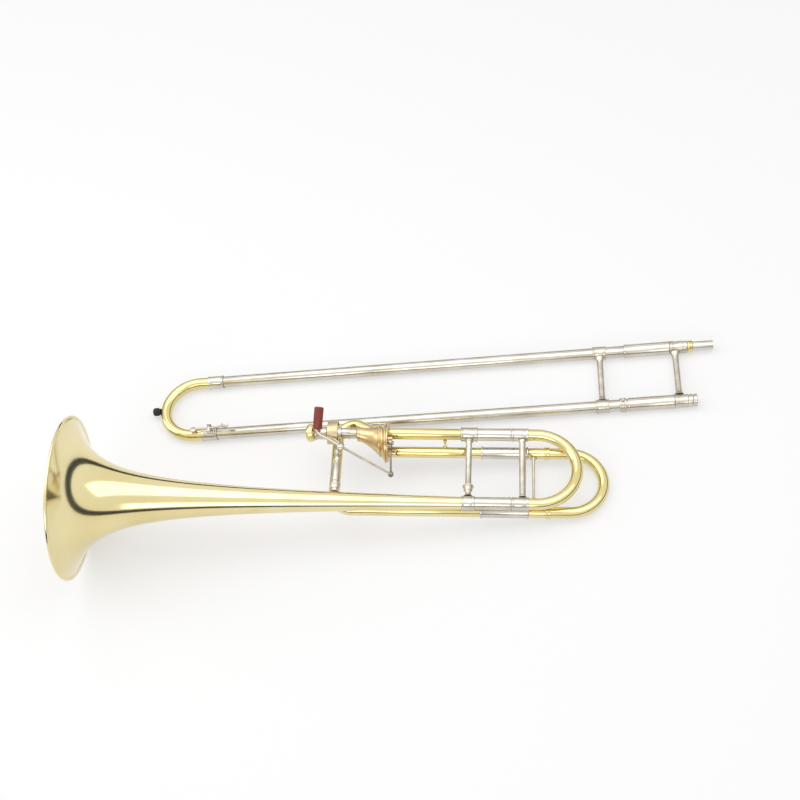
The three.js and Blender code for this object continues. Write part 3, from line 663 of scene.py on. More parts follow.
@dataclass
class Bell(Section):
    """The flared bell: one spun sheet with a wired rim."""

    radius: float = 108.0
    length: float = BELL_LENGTH
    stem_radius: float = 8.0
    wall: float = 1.3
    rim: float = 1.9
    spread: float = 28.8
    power: float = 0.8
    stations: int = 64

    def flare(self, x: float) -> float:
        """Radius of the free flare at a distance from the rim."""
        return self.radius * (self.spread / (x + self.spread)) ** self.power

    def radius_at(self, x: float) -> float:
        """Outside radius of the bell at a distance from the rim."""
        excess = self.flare(self.length) - self.stem_radius
        return self.flare(x) - excess * (x / self.length) ** 2

    def profile(self) -> Profile:
        """Runs down the outside from the stem, over the wired rim and back up the inside.

        Returns:
            The closed section of the bell.
        """
        outside: Profile = []
        inside: Profile = []
        for i in range(self.stations, -1, -1):
            x = self.rim + (self.length - self.rim) * (i / self.stations) ** 2.2
            slope = self.radius_at(x + 0.5) - self.radius_at(x - 0.5)
            tilt = math.hypot(1, slope)
            inner_x = x if i == self.stations else x + self.wall * slope / tilt
            outside.append((x, self.radius_at(x)))
            inside.insert(0, (inner_x, self.radius_at(x) - self.wall / tilt))
        angles = [math.radians(a) for a in range(0, 181, 15)]
        bead = [
            (self.rim * (0.3 + math.cos(a)), self.radius - self.rim * (1 - math.sin(a))) for a in angles
        ]
        return outside + bead + inside

    def build(self) -> None:
        """Spins the bell."""
        piece = turned(v(0, 0, 0), AHEAD, self.profile(), 160, 0)
        self.finish(piece, "bell_skin", Look.SPUN_BRASS, "bell_section", "bell")


@dataclass
class MainTubes(Section):
    """The gooseneck and the two sleeves that the tuning slide runs in."""

    tubing: Tubing

    def build(self) -> None:
        """Makes the gooseneck, the outer sleeves and their ferrules."""
        t = self.tubing
        neck = drawn(
            v(t.plate_back + GAP, t.leg_spacing, 0), AHEAD, UP, t.tube_r,
            [Straight(BELL_LENGTH - t.plate_back - GAP)], t.tube_wall,
        )
        self.finish(neck, "gooseneck_tube", Look.LACQUERED_BRASS, "bell_section", "gooseneck")
        mouth = t.sleeve_end - t.sleeve_start
        for name, y, length in [("bell", 0.0, 17.0), ("gooseneck", t.leg_spacing, 22.0)]:
            band = beaded_ferrule(t.rear_brace_x, y, 0, length, t.sleeve_r + GAP, t.ferrule_r)
            self.finish(
                band, f"{name}_end_ferrule", Look.NICKEL_SILVER, "bell_section", f"{name}_ferrule"
            )
            sleeve = turned(
                v(t.sleeve_start, y, 0), AHEAD,
                [
                    (0, t.sleeve_inner), (0, t.sleeve_r), (mouth - 4, t.sleeve_r),
                    (mouth - 3.6, t.sleeve_r + 0.35), (mouth - 0.6, t.sleeve_r + 0.35),
                    (mouth, t.sleeve_r), (mouth, t.sleeve_inner),
                ],
                64, 0.12,
            )
            self.finish(
                sleeve, f"{name}_slide_sleeve", Look.NICKEL_SILVER, "bell_section", f"{name}_outer_sleeve"
            )


@dataclass
class Braces(Section):
    """The two braces between bell and gooseneck, each in a post and a foot that screw together."""

    tubing: Tubing
    bell: Bell
    joint: float = 26.0
    front_x: float = 346.0
    shoulder: float = 57.0
    foot_r: float = 6.0
    band_r: float = 16.0

    def build(self) -> None:
        """Makes both braces."""
        t = self.tubing
        top = t.leg_spacing - t.ferrule_r - GAP
        length = top - self.joint
        post = turned(
            v(t.rear_brace_x, top, 0), ACROSS,
            [
                (0, 0), (0, 5.7), (0.7, 5.75), (1.6, 5.2), (2.6, 4.2), (3.4, 4.0), (length - 3, 4.0),
                (length - 2.6, 4.25), (length - 0.6, 4.25), (length, 4.0), (length, 0),
            ],
            40, 0.15,
        )
        self.finish(post, "rear_brace_upper_post", Look.CAST_NICKEL, "bell_section", "rear_brace_post")
        low = self.joint - GAP - t.ferrule_r - GAP
        foot = turned(
            v(t.rear_brace_x, self.joint - GAP, 0), ACROSS,
            [
                (0, 0), (0, 6.9), (0.5, 7.3), (1.1, 7.0), (1.5, 7.3), (2.2, 6.9), (2.7, 6.2), (3.2, 5.9),
                (6.8, 5.8), (7.4, 5.3), (8.2, 4.4), (9.2, 4.0), (low - 3.4, 3.9), (low - 1.6, 4.6),
                (low, 5.8), (low, 0),
            ],
            40, 0.12,
        )
        self.finish(foot, "rear_brace_lower_foot", Look.CAST_NICKEL, "bell_section", "rear_brace_foot")
        top = t.leg_spacing - self.band_r - GAP
        whole = top - self.joint
        shoulder = top - self.shoulder
        post = turned(
            v(self.front_x, top, 0), ACROSS,
            [
                (0, 0), (0, 3.4), (8, 3.4), (8.6, 4.3), (9.4, 4.6), (14.6, 4.6), (15.4, 4.3), (16, 3.0),
                (20, 3.0), (20.6, 4.1), (21.4, 4.4), (27.6, 4.4), (28.4, 4.1), (29, 3.0), (shoulder, 3.0),
                (shoulder + 0.2, 4.8), (shoulder + 1, 5.6), (whole - 5, 5.6), (whole - 4.6, 5.35),
                (whole - 4, 5.6), (whole, 5.6), (whole, 0),
            ],
            40, 0.15,
        )
        self.finish(post, "front_brace_upper_post", Look.CAST_NICKEL, "bell_section", "front_brace_post")
        low = self.joint - GAP - self.bell.radius_at(self.front_x - self.foot_r) - GAP
        foot = turned(
            v(self.front_x, self.joint - GAP, 0), ACROSS,
            [
                (0, 0), (0, 7.0), (0.5, 7.4), (1.2, 7.1), (1.7, 7.4), (2.4, 7.0), (2.9, 6.3), (3.3, 6.1),
                (6.4, 6.0), (7.0, 5.3), (7.8, 4.4), (low - 1.8, 4.1), (low - 0.8, 4.9), (low, 6.2),
                (low, 0),
            ],
            40, 0.12,
        )
        self.finish(foot, "front_brace_lower_foot", Look.CAST_NICKEL, "bell_section", "front_brace_foot")


@dataclass
class Receiver(Section):
    """The socket for the hand slide's tenon, its lock nut, and the tube on into the valve."""

    tubing: Tubing
    start: float = 304.0
    end: float = 349.0
    radius: float = 8.6
    bore: float = 6.9
    stop_reach: float = 9.8
    inlet_r: float = 7.4
    inlet_bore: float = 6.6
    inlet_length: float = 20.4
    flutes: int = 20
    flute_circle: float = 13.1

    def build(self) -> None:
        """Makes the receiver, inlet tube and lock nut."""
        y = self.tubing.leg_spacing
        stop = self.start + self.stop_reach
        socket = turned(
            v(0, y, 0), AHEAD,
            [
                (self.start, self.bore), (self.start, self.radius - 0.3), (self.start + 0.4, self.radius),
                (stop, self.radius), (stop, self.radius + 1.1), (stop + 0.5, self.radius + 1.4),
                (stop + 1.5, self.radius + 1.4), (stop + 2, self.radius + 1.1), (stop + 2, self.radius),
                (self.end, self.radius), (self.end, self.bore),
            ],
            64, 0.12,
        )
        self.finish(socket, "slide_receiver_socket", Look.NICKEL_SILVER, "bell_section", "slide_receiver")
        inlet = turned(
            v(self.end + GAP, y, 0), AHEAD,
            [
                (0, self.inlet_bore), (0, self.inlet_r), (9, self.inlet_r), (9.4, self.inlet_r + 0.5),
                (10.4, self.inlet_r + 0.7), (11.4, self.inlet_r + 0.5), (11.8, self.inlet_r),
                (self.inlet_length, self.inlet_r), (self.inlet_length, self.inlet_bore),
            ],
            64, 0.1,
        )
        self.finish(inlet, "valve_inlet", Look.NICKEL_SILVER, "bell_section", "valve_inlet_tube")
        bore = self.radius + GAP
        nut = turned(
            v(self.start - 1.5, y, 0), AHEAD,
            [
                (0, bore), (0, bore + 1.0), (0.5, bore + 1.5), (2, bore + 2.8), (2.6, bore + 3.1),
                (3.0, bore + 2.9), (3.4, bore + 3.3), (4.5, bore + 3.4), (7.0, bore + 3.3),
                (7.4, bore + 2.95), (7.8, bore + 3.1), (8.6, bore + 2.8), (10.0, bore + 2.1),
                (10.5, bore + 1.6), (10.5, bore),
            ],
            72, 0.12,
        )
        flutes = []
        for i in range(self.flutes):
            a = 2 * math.pi * i / self.flutes
            side, height = y + self.flute_circle * math.cos(a), self.flute_circle * math.sin(a)
            start, end = v(self.start + 1.2, side, height), v(self.start + 6.6, side, height)
            flutes.append(bar(start, end, 1.1, 0, 12))
        self.finish(
            drilled(nut, flutes), "bell_lock_ring", Look.LACQUERED_BRASS, "lock_nut", "bell_lock_nut"
        )


@dataclass
class Saddle(Section):
    """The curved band over the receiver that carries the trigger."""

    tubing: Tubing
    x: float = 338.0
    width: float = 14.0
    radius: float = 16.0
    thickness: float = 1.6
    clamp_inner: float = 8.9
    clamp_wall: float = 1.4
    ear: float = 2.4
    ear_z: float = -2.5

    def ring(self, inner: float, outer: float) -> Profile:
        """Section of a plain ring as wide as the saddle."""
        return [(0, inner), (0, outer), (self.width, outer), (self.width, inner)]

    def build(self) -> None:
        """Bends the band, adds the clamp ring and its ears."""
        y = self.tubing.leg_spacing
        left = self.x - self.width / 2
        w = self.width
        band = turned(
            v(left, y, 0), AHEAD,
            self.ring(self.radius - self.thickness, self.radius), 96, 0,
        )
        below = start_box(v(self.x, y + 4, -self.radius), v(w * 2, self.radius * 3, self.radius * 1.5))
        band = drilled(band, [below])
        clamp = turned(
            v(left, y, 0), AHEAD,
            self.ring(self.clamp_inner, self.clamp_inner + self.clamp_wall), 64, 0,
        )
        ears = []
        for side in (1, -1):
            middle = v(self.x, y + side * (self.clamp_inner + self.radius) / 2, self.ear_z)
            ears.append(start_box(middle, v(w, self.radius - self.clamp_inner - 1, self.ear)))
        whole = welded([clamp, band, *ears])
        soften(whole, 0.25)
        self.finish(whole, "trigger_saddle", Look.BRUSHED_SHEET, "bell_section", "lever_saddle")


@dataclass
class Valve(Section):
    """The conical valve: casing, back plate, rotor and arm."""

    tubing: Tubing
    start: float = 370.0
    length: float = 39.0
    wall: float = 1.6
    flange_r: float = 27.5
    mouth_r: float = 19.5
    plate: float = 2.6
    step: float = 16.0
    drop: float = LOOP_DROP
    tube_r: float = 7.4
    shaft_r: float = 2.2
    arm_gap: float = 4.0
    arm_length: float = 25.0
    swing: float = math.radians(21)
    stop_reach: float = 17.0
    stop_aside: float = 5.0
    stop_r: float = 2.6
    screws: int = 6
    screw_circle: float = 23.4
    turn_x: float = 367.0
    corner_r: float = 24.0
    return_r: float = 20.0
    return_angle: float = math.radians(125)
    return_reach: float = 30.0

    @property
    def arm_x(self) -> float:
        """Station of the rotor's arm, behind the back plate."""
        return self.start + self.length + GAP + self.plate + self.arm_gap

    @property
    def arm_way(self) -> Vector:
        """Direction of the arm in the middle of its swing."""
        return v(0, -self.drop, self.step).normalized()

    @property
    def port_way(self) -> Vector:
        """Direction from the rotor's axis to the main tube's port, square to the arm."""
        return v(0, self.step, self.drop).normalized()

    @property
    def arm_tip(self) -> Vector:
        """Centre of the ball on the arm, with the valve at rest.

        Returns:
            The centre in the section's frame.
        """
        tip = self.axis_at(self.length) + self.arm_way * self.arm_length * math.cos(self.swing)
        tip += self.port_way * self.arm_length * math.sin(self.swing)
        tip.x = self.arm_x
        return tip

    def profile(self) -> Profile:
        """Outside of the casing: a beaded collar, a hollow flare with one bead, and the flange.

        Returns:
            The profile, from the casing's small end.
        """
        return [
            (0, 9.9), (0.4, 10.4), (1.6, 10.4), (2.0, 10.0), (2.4, 10.4), (3.6, 10.4), (4, 9.8), (7, 9.9),
            (10, 10.5), (13, 11.4), (16, 12.6), (19, 14.0), (22, 15.7), (25, 17.6), (28, 19.7),
            (29.2, 20.6), (29.6, 21.5), (30.2, 21.9), (31, 21.9), (31.6, 21.5), (32, 20.9), (33.4, 21.7),
            (34.8, 22.9), (36, 24.3), (36.9, 25.9), (37.2, 27.1), (37.7, 27.5), (38.7, 27.5), (39, 27.2),
        ]

    def axis_at(self, along: float) -> Vector:
        """Point of the casing's slanted axis at a distance from its small end.

        Args:
            along: the distance along the main tubes.

        Returns:
            The point in the section's frame.
        """
        share = along / self.length
        y = self.tubing.leg_spacing - share * self.step / 2
        return v(self.start + along, y, -share * self.drop / 2)

    def lofted(self, grow: float) -> bpy.types.Object:
        """Draws the slanted cone ring by ring, each ring moved along the axis and resized.

        Args:
            grow: how much larger than the casing its radius is.

        Returns:
            The cone, open at both ends, or a closed solid if it is grown.
        """
        profile = self.profile()
        at = self.axis_at(profile[0][0])
        bpy.ops.object.select_all(action="DESELECT")
        bpy.ops.mesh.primitive_circle_add(
            vertices=96, radius=(profile[0][1] + grow) * MM, fill_type="NOTHING", location=at * MM,
            rotation=(0, math.pi / 2, 0),
        )
        piece = bpy.context.object
        bpy.ops.object.transform_apply(location=True, rotation=True, scale=True)
        bpy.ops.object.mode_set(mode="EDIT")
        bpy.ops.mesh.select_all(action="SELECT")
        for before, after in zip(profile, profile[1:]):
            centre = self.axis_at(after[0])
            extrude_by((centre - self.axis_at(before[0])) * MM)
            factor = (after[1] + grow) / (before[1] + grow)
            bpy.ops.transform.resize(value=(factor, factor, factor), center_override=centre * MM)
        if grow > 0:
            bpy.ops.mesh.select_all(action="DESELECT")
            bpy.ops.mesh.select_non_manifold()
            bpy.ops.mesh.edge_face_add()
        close_up()
        return piece

    def build(self) -> None:
        """Makes the valve's pieces."""
        self.build_casing()
        self.build_plate()
        self.build_rotor()
        self.build_return_tube()

    def build_casing(self) -> None:
        """Makes the slanted casing, with a collar that the back plate is screwed to."""
        casing = self.lofted(0)
        thicken(casing, self.wall)
        soften(casing, 0)
        depth = 2.2
        collar = turned(
            self.axis_at(self.length) - AHEAD * depth, AHEAD,
            [
                (0, self.mouth_r), (0, self.flange_r - 1.4), (depth, self.flange_r - 0.2),
                (depth, self.mouth_r),
            ],
            96, 0.1,
        )
        self.finish(
            welded([casing, collar]), "valve_body", Look.TURNED_BRONZE, "bell_section", "valve_casing"
        )

    def build_plate(self) -> None:
        """Makes the back plate with its two stops, its screws and the holes for tubes and shaft."""
        middle = self.axis_at(self.length)
        rim = self.flange_r - 1.5
        x = self.start + self.length + GAP
        plate = turned(
            v(x, middle.y, middle.z), AHEAD,
            [(0, 0), (0, rim), (1.6, rim), (2.3, rim - 0.7), (self.plate, rim - 1.2), (self.plate, 0)],
            96, 0.1,
        )
        # At each end of the swing the stop's axis stands a little aside of the arm's middle line.
        angle = self.swing + math.asin(self.stop_aside / self.stop_reach)
        raised = []
        for side in (1, -1):
            place = middle + self.arm_way * self.stop_reach * math.cos(angle)
            place += self.port_way * side * self.stop_reach * math.sin(angle)
            raised.append(
                bar(v(x + 0.7, place.y, place.z), v(x + 8.6, place.y, place.z), self.stop_r, 0.4)
            )
        for i in range(self.screws):
            turn = math.radians(20) + 2 * math.pi * i / self.screws
            y = middle.y + self.screw_circle * math.cos(turn)
            z = middle.z + self.screw_circle * math.sin(turn)
            raised.append(bar(v(x + 2.2, y, z), v(x + 3.2, y, z), 1.5, 0.25, 24))
        port_y = self.tubing.leg_spacing
        holes = [
            bar(v(x - 2, y, z), v(x + 6, y, z), radius, 0, sides)
            for y, z, radius, sides in (
                (port_y, 0, 6.8, 48), (port_y - self.step, -self.drop, 6.6, 48),
                (middle.y, middle.z, 2.5, 32),
            )
        ]
        plate = drilled(welded([plate, *raised]), holes)
        self.finish(plate, "valve_plate", Look.TURNED_BRONZE, "bell_section", "valve_back_plate")

    def build_rotor(self) -> None:
        """Makes the conical rotor on its shaft, and the arm that turns it."""
        middle = self.axis_at(self.length)
        end = self.start + self.length
        shaft_end = self.arm_x - 1.9
        rotor = turned(
            v(0, middle.y, middle.z), AHEAD,
            [
                (end - 21, 0), (end - 21, 3), (end - 9, 12), (end - 1, 15), (end - 1, self.shaft_r),
                (shaft_end, self.shaft_r), (shaft_end, 0),
            ],
            48, 0.2,
        )
        self.finish(rotor, "valve_rotor_cone", Look.GROUND_STEEL, "rotor", "valve_rotor")
        centre = v(self.arm_x, middle.y, middle.z)
        hub = turned(
            centre, AHEAD,
            [(-1.6, 0), (-1.6, 2.8), (1.8, 2.8), (2.2, 2.4), (2.2, 1.7), (3.0, 1.7), (3.0, 0)], 40, 0.15,
        )
        arm = welded([hub, bar(centre, self.arm_tip, 1.4, 0), ball(self.arm_tip, 2.6)])
        self.finish(arm, "rotor_crank", Look.CAST_NICKEL, "rotor", "rotor_arm")

    def build_return_tube(self) -> None:
        """Bends the tube that comes back from the loop, round the receiver, into the casing."""
        aside = v(0.95, 0, 0.3).normalized()
        runs = [
            Bend(self.corner_r, math.pi / 2),
            Straight(self.tubing.leg_spacing + 2 - self.corner_r),
            aside,
            Bend(self.return_r, self.return_angle),
            Straight(self.return_reach),
        ]
        start = v(self.turn_x, 0, -self.drop)
        tube = drawn(start, BACK, -ACROSS, self.tube_r, runs, self.tubing.tube_wall)
        tube = drilled(tube, [self.lofted(GAP)])
        self.finish(tube, "return_tube", Look.LACQUERED_BRASS, "bell_section", "valve_return_tube")


@dataclass
class Loop(Section):
    """The valve's loop: outlet and lower tubes, their sleeves, the pull-out bow and the stays."""

    tubing: Tubing
    bell: Bell
    upper_y: float = 90.0
    lower_y: float = 0.0
    z: float = -LOOP_DROP
    tube_r: float = 7.4
    sleeve_start: float = 535.0
    sleeve_end: float = 597.0
    sleeve_r: float = 8.0
    sleeve_inner: float = 7.3
    ring_r: float = 8.9
    leg_r: float = 7.0
    bow_x: float = 650.0
    bow_r: float = 45.0
    brace_x: float = 604.0
    ring_x: float = 622.0
    upper_start: float = 412.2
    lower_start: float = 367.3
    gooseneck_stay_x: float = 487.0
    bell_stay_x: float = 470.0

    def stay(self, name: str, x: float, upper: Vector, radius: float, lower: Vector) -> None:
        """Turns a short waisted stay between a main tube and the loop's tube below it.

        Args:
            name: the node that it stands for.
            x: its station.
            upper: the axis of the main tube.
            radius: that tube's outside radius.
            lower: the axis of the loop's tube.
        """
        way = (lower - upper).normalized()
        start = upper + way * (radius + GAP) + v(x, 0, 0)
        end = lower - way * (self.tube_r + GAP) + v(x, 0, 0)
        n = (end - start).length
        waisted = mirrored(n, [(0, 0), (0, 2.8), (n * 0.12, 2.5), (n * 0.3, 1.7)])
        piece = turned(start, end - start, waisted, 32, 0.1)
        self.finish(piece, f"{name}_post", Look.LACQUERED_BRASS, "bell_section", name)

    def build(self) -> None:
        """Makes the loop."""
        wall = self.tubing.tube_wall
        n = self.sleeve_end - self.sleeve_start
        r, ring, inset = self.sleeve_r, self.ring_r, self.tubing.leg_inset
        ends = [
            (0, self.sleeve_inner), (0, ring - 0.2), (0.5, ring), (1.9, ring), (2.4, ring - 0.2),
            (2.4, r),
        ]
        rows = [
            ("upper", self.upper_y, "f_outlet_tube", self.upper_start),
            ("lower", self.lower_y, "f_lower_tube", self.lower_start),
        ]
        for side, y, node, start in rows:
            run = [Straight(self.sleeve_start - GAP - start)]
            tube = drawn(v(start, y, self.z), AHEAD, UP, self.tube_r, run, wall)
            self.finish(tube, f"loop_{side}_tube", Look.LACQUERED_BRASS, "bell_section", node)
            sleeve = turned(v(self.sleeve_start, y, self.z), AHEAD, mirrored(n, ends), 64, 0.1)
            self.finish(
                sleeve, f"loop_{side}_sleeve", Look.NICKEL_SILVER, "bell_section", f"f_{side}_sleeve"
            )
            inside = v(self.sleeve_start + inset, y, self.z)
            leg = drawn(inside, AHEAD, UP, self.leg_r, [Straight(n - inset)], self.tubing.leg_wall)
            self.finish(
                leg, f"loop_slide_{side}_leg", Look.NICKEL_SILVER, "f_slide", f"f_slide_{side}_leg"
            )
        bow_start = self.sleeve_end + GAP
        straight = Straight(self.bow_x - bow_start)
        runs = [straight, Bend(self.bow_r, math.pi, 64), straight]
        bow = drawn(v(bow_start, self.upper_y, self.z), AHEAD, ACROSS, self.tube_r, runs, wall)
        rings = [
            beaded_ferrule(self.ring_x, y, self.z, 6.8, self.tube_r - 0.4, self.ring_r)
            for y in (self.upper_y, self.lower_y)
        ]
        self.finish(welded([bow, *rings]), "loop_bow", Look.LACQUERED_BRASS, "f_slide", "f_bow")
        top = self.upper_y - self.tube_r - GAP
        n = top - (self.lower_y + self.tube_r + GAP)
        profile = mirrored(n, [(0, 0), (0, 4.4), (0.8, 4.4), (1.6, 3.8), (2.6, 2.4), (4, 1.9)])
        brace = turned(v(self.brace_x, top, self.z), ACROSS, profile, 32, 0.12)
        self.finish(brace, "loop_slide_brace", Look.CAST_NICKEL, "f_slide", "f_slide_brace")
        main = v(0, self.tubing.leg_spacing, 0)
        upper, lower = v(0, self.upper_y, self.z), v(0, self.lower_y, self.z)
        stem = self.bell.radius_at(self.bell_stay_x - 3)
        self.stay("gooseneck_stay", self.gooseneck_stay_x, main, self.tubing.tube_r, upper)
        self.stay("bell_stay", self.bell_stay_x, v(0, 0, 0), stem, lower)


@dataclass
class TuningSlide(Section):
    """The main tuning slide: bow, legs, ferrules and brace."""

    tubing: Tubing
    start: float = 574.6
    bow_x: float = 607.0
    brace_x: float = 589.0
    band_x: float = 586.0
    band: float = 22.0
    ring_r: float = 9.1

    def build(self) -> None:
        """Makes the tuning slide."""
        t = self.tubing
        straight = Straight(self.bow_x - self.start)
        runs = [straight, Bend(t.leg_spacing / 2, math.pi, 72), straight]
        bow = drawn(v(self.start, t.leg_spacing, 0), AHEAD, ACROSS, t.tube_r, runs, t.tube_wall)
        self.finish(bow, "tuning_crook", Look.LACQUERED_BRASS, "tuning_slide", "tuning_bow")
        for side, y in (("upper", t.leg_spacing), ("lower", 0.0)):
            start = t.sleeve_start + t.leg_inset
            run = [Straight(self.start - GAP - t.sleeve_start - t.leg_inset)]
            leg = drawn(v(start, y, 0), AHEAD, UP, t.leg_r, run, t.leg_wall)
            self.finish(
                leg, f"tuning_{side}_inner_leg", Look.NICKEL_SILVER, "tuning_slide", f"tuning_{side}_leg"
            )
            band = beaded_ferrule(self.band_x, y, 0, self.band, t.tube_r + GAP, self.ring_r)
            self.finish(
                band, f"tuning_{side}_band", Look.NICKEL_SILVER, "tuning_slide", f"tuning_{side}_ferrule"
            )
        top = t.leg_spacing - self.ring_r - GAP
        ends = [(0, 0), (0, 5.2), (0.6, 5.3), (1.4, 5.0), (2.4, 4.5), (3.2, 4.4)]
        brace = turned(v(self.brace_x, top, 0), ACROSS, mirrored(top - self.ring_r - GAP, ends), 40, 0.12)
        self.finish(brace, "tuning_slide_brace", Look.CAST_NICKEL, "tuning_slide", "tuning_brace")


@dataclass
class Trigger(Section):
    """The thumb lever, its grip, its pivot and the push rod to the valve's arm."""

    tubing: Tubing
    valve: Valve
    pivot: Vector
    grip_low: Vector
    grip_high: Vector
    rod_length: float = 45.0
    lever_r: float = 2.0
    grip_r: float = 4.6
    pin_r: float = 1.8
    pin_below: float = 6.5
    pin_above: float = 4.6
    landing_x: float = 341.0
    landing_reach: float = 17.6
    landing_angle: float = math.radians(28)

    @property
    def rod_foot(self) -> Vector:
        """Centre of the push rod's joint with the lever."""
        return self.valve.arm_tip - self.valve.port_way * self.rod_length

    def build(self) -> None:
        """Makes the linkage."""
        self.build_post()
        self.build_lever()
        self.build_grip()
        self.build_rod()

    def build_post(self) -> None:
        """Makes the pin that the lever turns on, its slotted head, and the post that carries it."""
        way = self.valve.arm_way
        low = self.pivot - way * self.pin_below
        top = self.pivot + way * self.pin_above
        angle, reach = self.landing_angle, self.landing_reach
        landing = v(
            self.landing_x, self.tubing.leg_spacing - reach * math.cos(angle), reach * math.sin(angle)
        )
        head = [(0, 0), (0, 3.2), (0.9, 3.2), (1.4, 2.7), (1.4, 0)]
        post = welded(
            [
                bar(low, top, self.pin_r, 0),
                turned(self.pivot + way * 3.2, way, head, 32, 0.1),
                bar(low - way * 2, low + way * 2.4, 3.6, 0.3),
                bar(low, landing, 2.2, 0),
            ]
        )
        slot = start_box(v(0, 0, 0), v(8, 0.9, 0.9))
        seat(slot, facing(top, AHEAD))
        self.finish(
            drilled(post, [slot]), "lever_pivot_post", Look.CAST_NICKEL, "bell_section", "lever_pivot"
        )

    def build_lever(self) -> None:
        """Makes the hub, the bent arm under the thumb and the arm that works the push rod."""
        way = self.valve.arm_way
        pivot = self.pivot
        hub = bar(pivot - way * 3.2, pivot + way * 2.9, 4.4, 0.35, 40)
        corners = [v(336, 85, 15), v(322, 92.5, 16), v(318.4, 97.5, 17.2)]
        arm = routed([pivot, *corners, self.grip_low, self.grip_high], 4.5, self.lever_r)
        out = self.rod_foot - pivot
        n = out.length - 4.2
        reach = turned(pivot, out.normalized(), [(0, 0), (0, 1.9), (10, 1.5), (n, 1.5), (n, 0)], 24, 0)
        hole = bar(pivot - way * 9, pivot + way * 9, self.pin_r + GAP, 0, 32)
        lever = drilled(welded([hub, arm, reach]), [hole])
        self.finish(lever, "thumb_lever", Look.CAST_NICKEL, "trigger", "trigger_lever")

    def build_grip(self) -> None:
        """Makes the round-ended sleeve on the lever, a little longer than the arm's last stretch."""
        low = self.grip_low.lerp(self.grip_high, -0.12)
        high = self.grip_high.lerp(self.grip_low, -0.1)
        rounding = 1.6
        ends = [
            (rounding - rounding * math.cos(a), self.grip_r + rounding * math.sin(a))
            for a in (0, 0.4, 0.8, 1.2, 1.57)
        ]
        grip = turned(low, high - low, mirrored((high - low).length, [(0, 0)] + ends), 64, 0)
        bore = bar(low - (high - low) * 0.1, self.grip_high, self.lever_r + GAP, 0, 32)
        self.finish(drilled(grip, [bore]), "thumb_grip", Look.MOULDED_GRIP, "trigger", "trigger_grip")

    def build_rod(self) -> None:
        """Makes the push rod, with its eye, its lock nut and its ball cup."""
        foot, port, way = self.rod_foot, self.valve.port_way, self.valve.arm_way
        n = self.rod_length
        rod = turned(
            foot, port,
            [
                (0, 0), (0, 1.3), (n - 13, 1.3), (n - 12.6, 1.15), (n - 9.4, 1.15), (n - 9, 2.2),
                (n - 8.4, 2.6), (n - 3.8, 2.6), (n - 3.2, 2.2), (n - 3.2, 0),
            ],
            32, 0.1,
        )
        nut = turned(foot, port, [(n - 12, 0), (n - 12, 2.3), (n - 10.4, 2.3), (n - 10.4, 0)], 6, 0.15)
        eye = bar(foot - way * 2.4, foot + way * 2.4, 3.6, 0.35, 40)
        self.finish(welded([rod, nut, eye]), "valve_push_rod", Look.GROUND_STEEL, "push_rod", "push_rod")


# ------------------------------------------------------------------ hand slide


@dataclass
class HandTubes:
    """Sizes and stations that the two halves of the hand slide share, in millimetres."""

    half: float = 45.0
    z: float = 9.6
    inner_r: float = 6.9
    inner_wall: float = 0.7
    outer_r: float = 8.0
    outer_wall: float = 0.8
    barrel_r: float = 9.6
    tee_r: float = 9.4
    socket_bore: float = 7.2
    cork_bore: float = 8.3
    collar_end: float = -34.0
    barrel_start: float = -58.6
    barrel_length: float = 62.0
    outer_start: float = -63.6
    crook_start: float = -703.6
    inner_end: float = -677.6


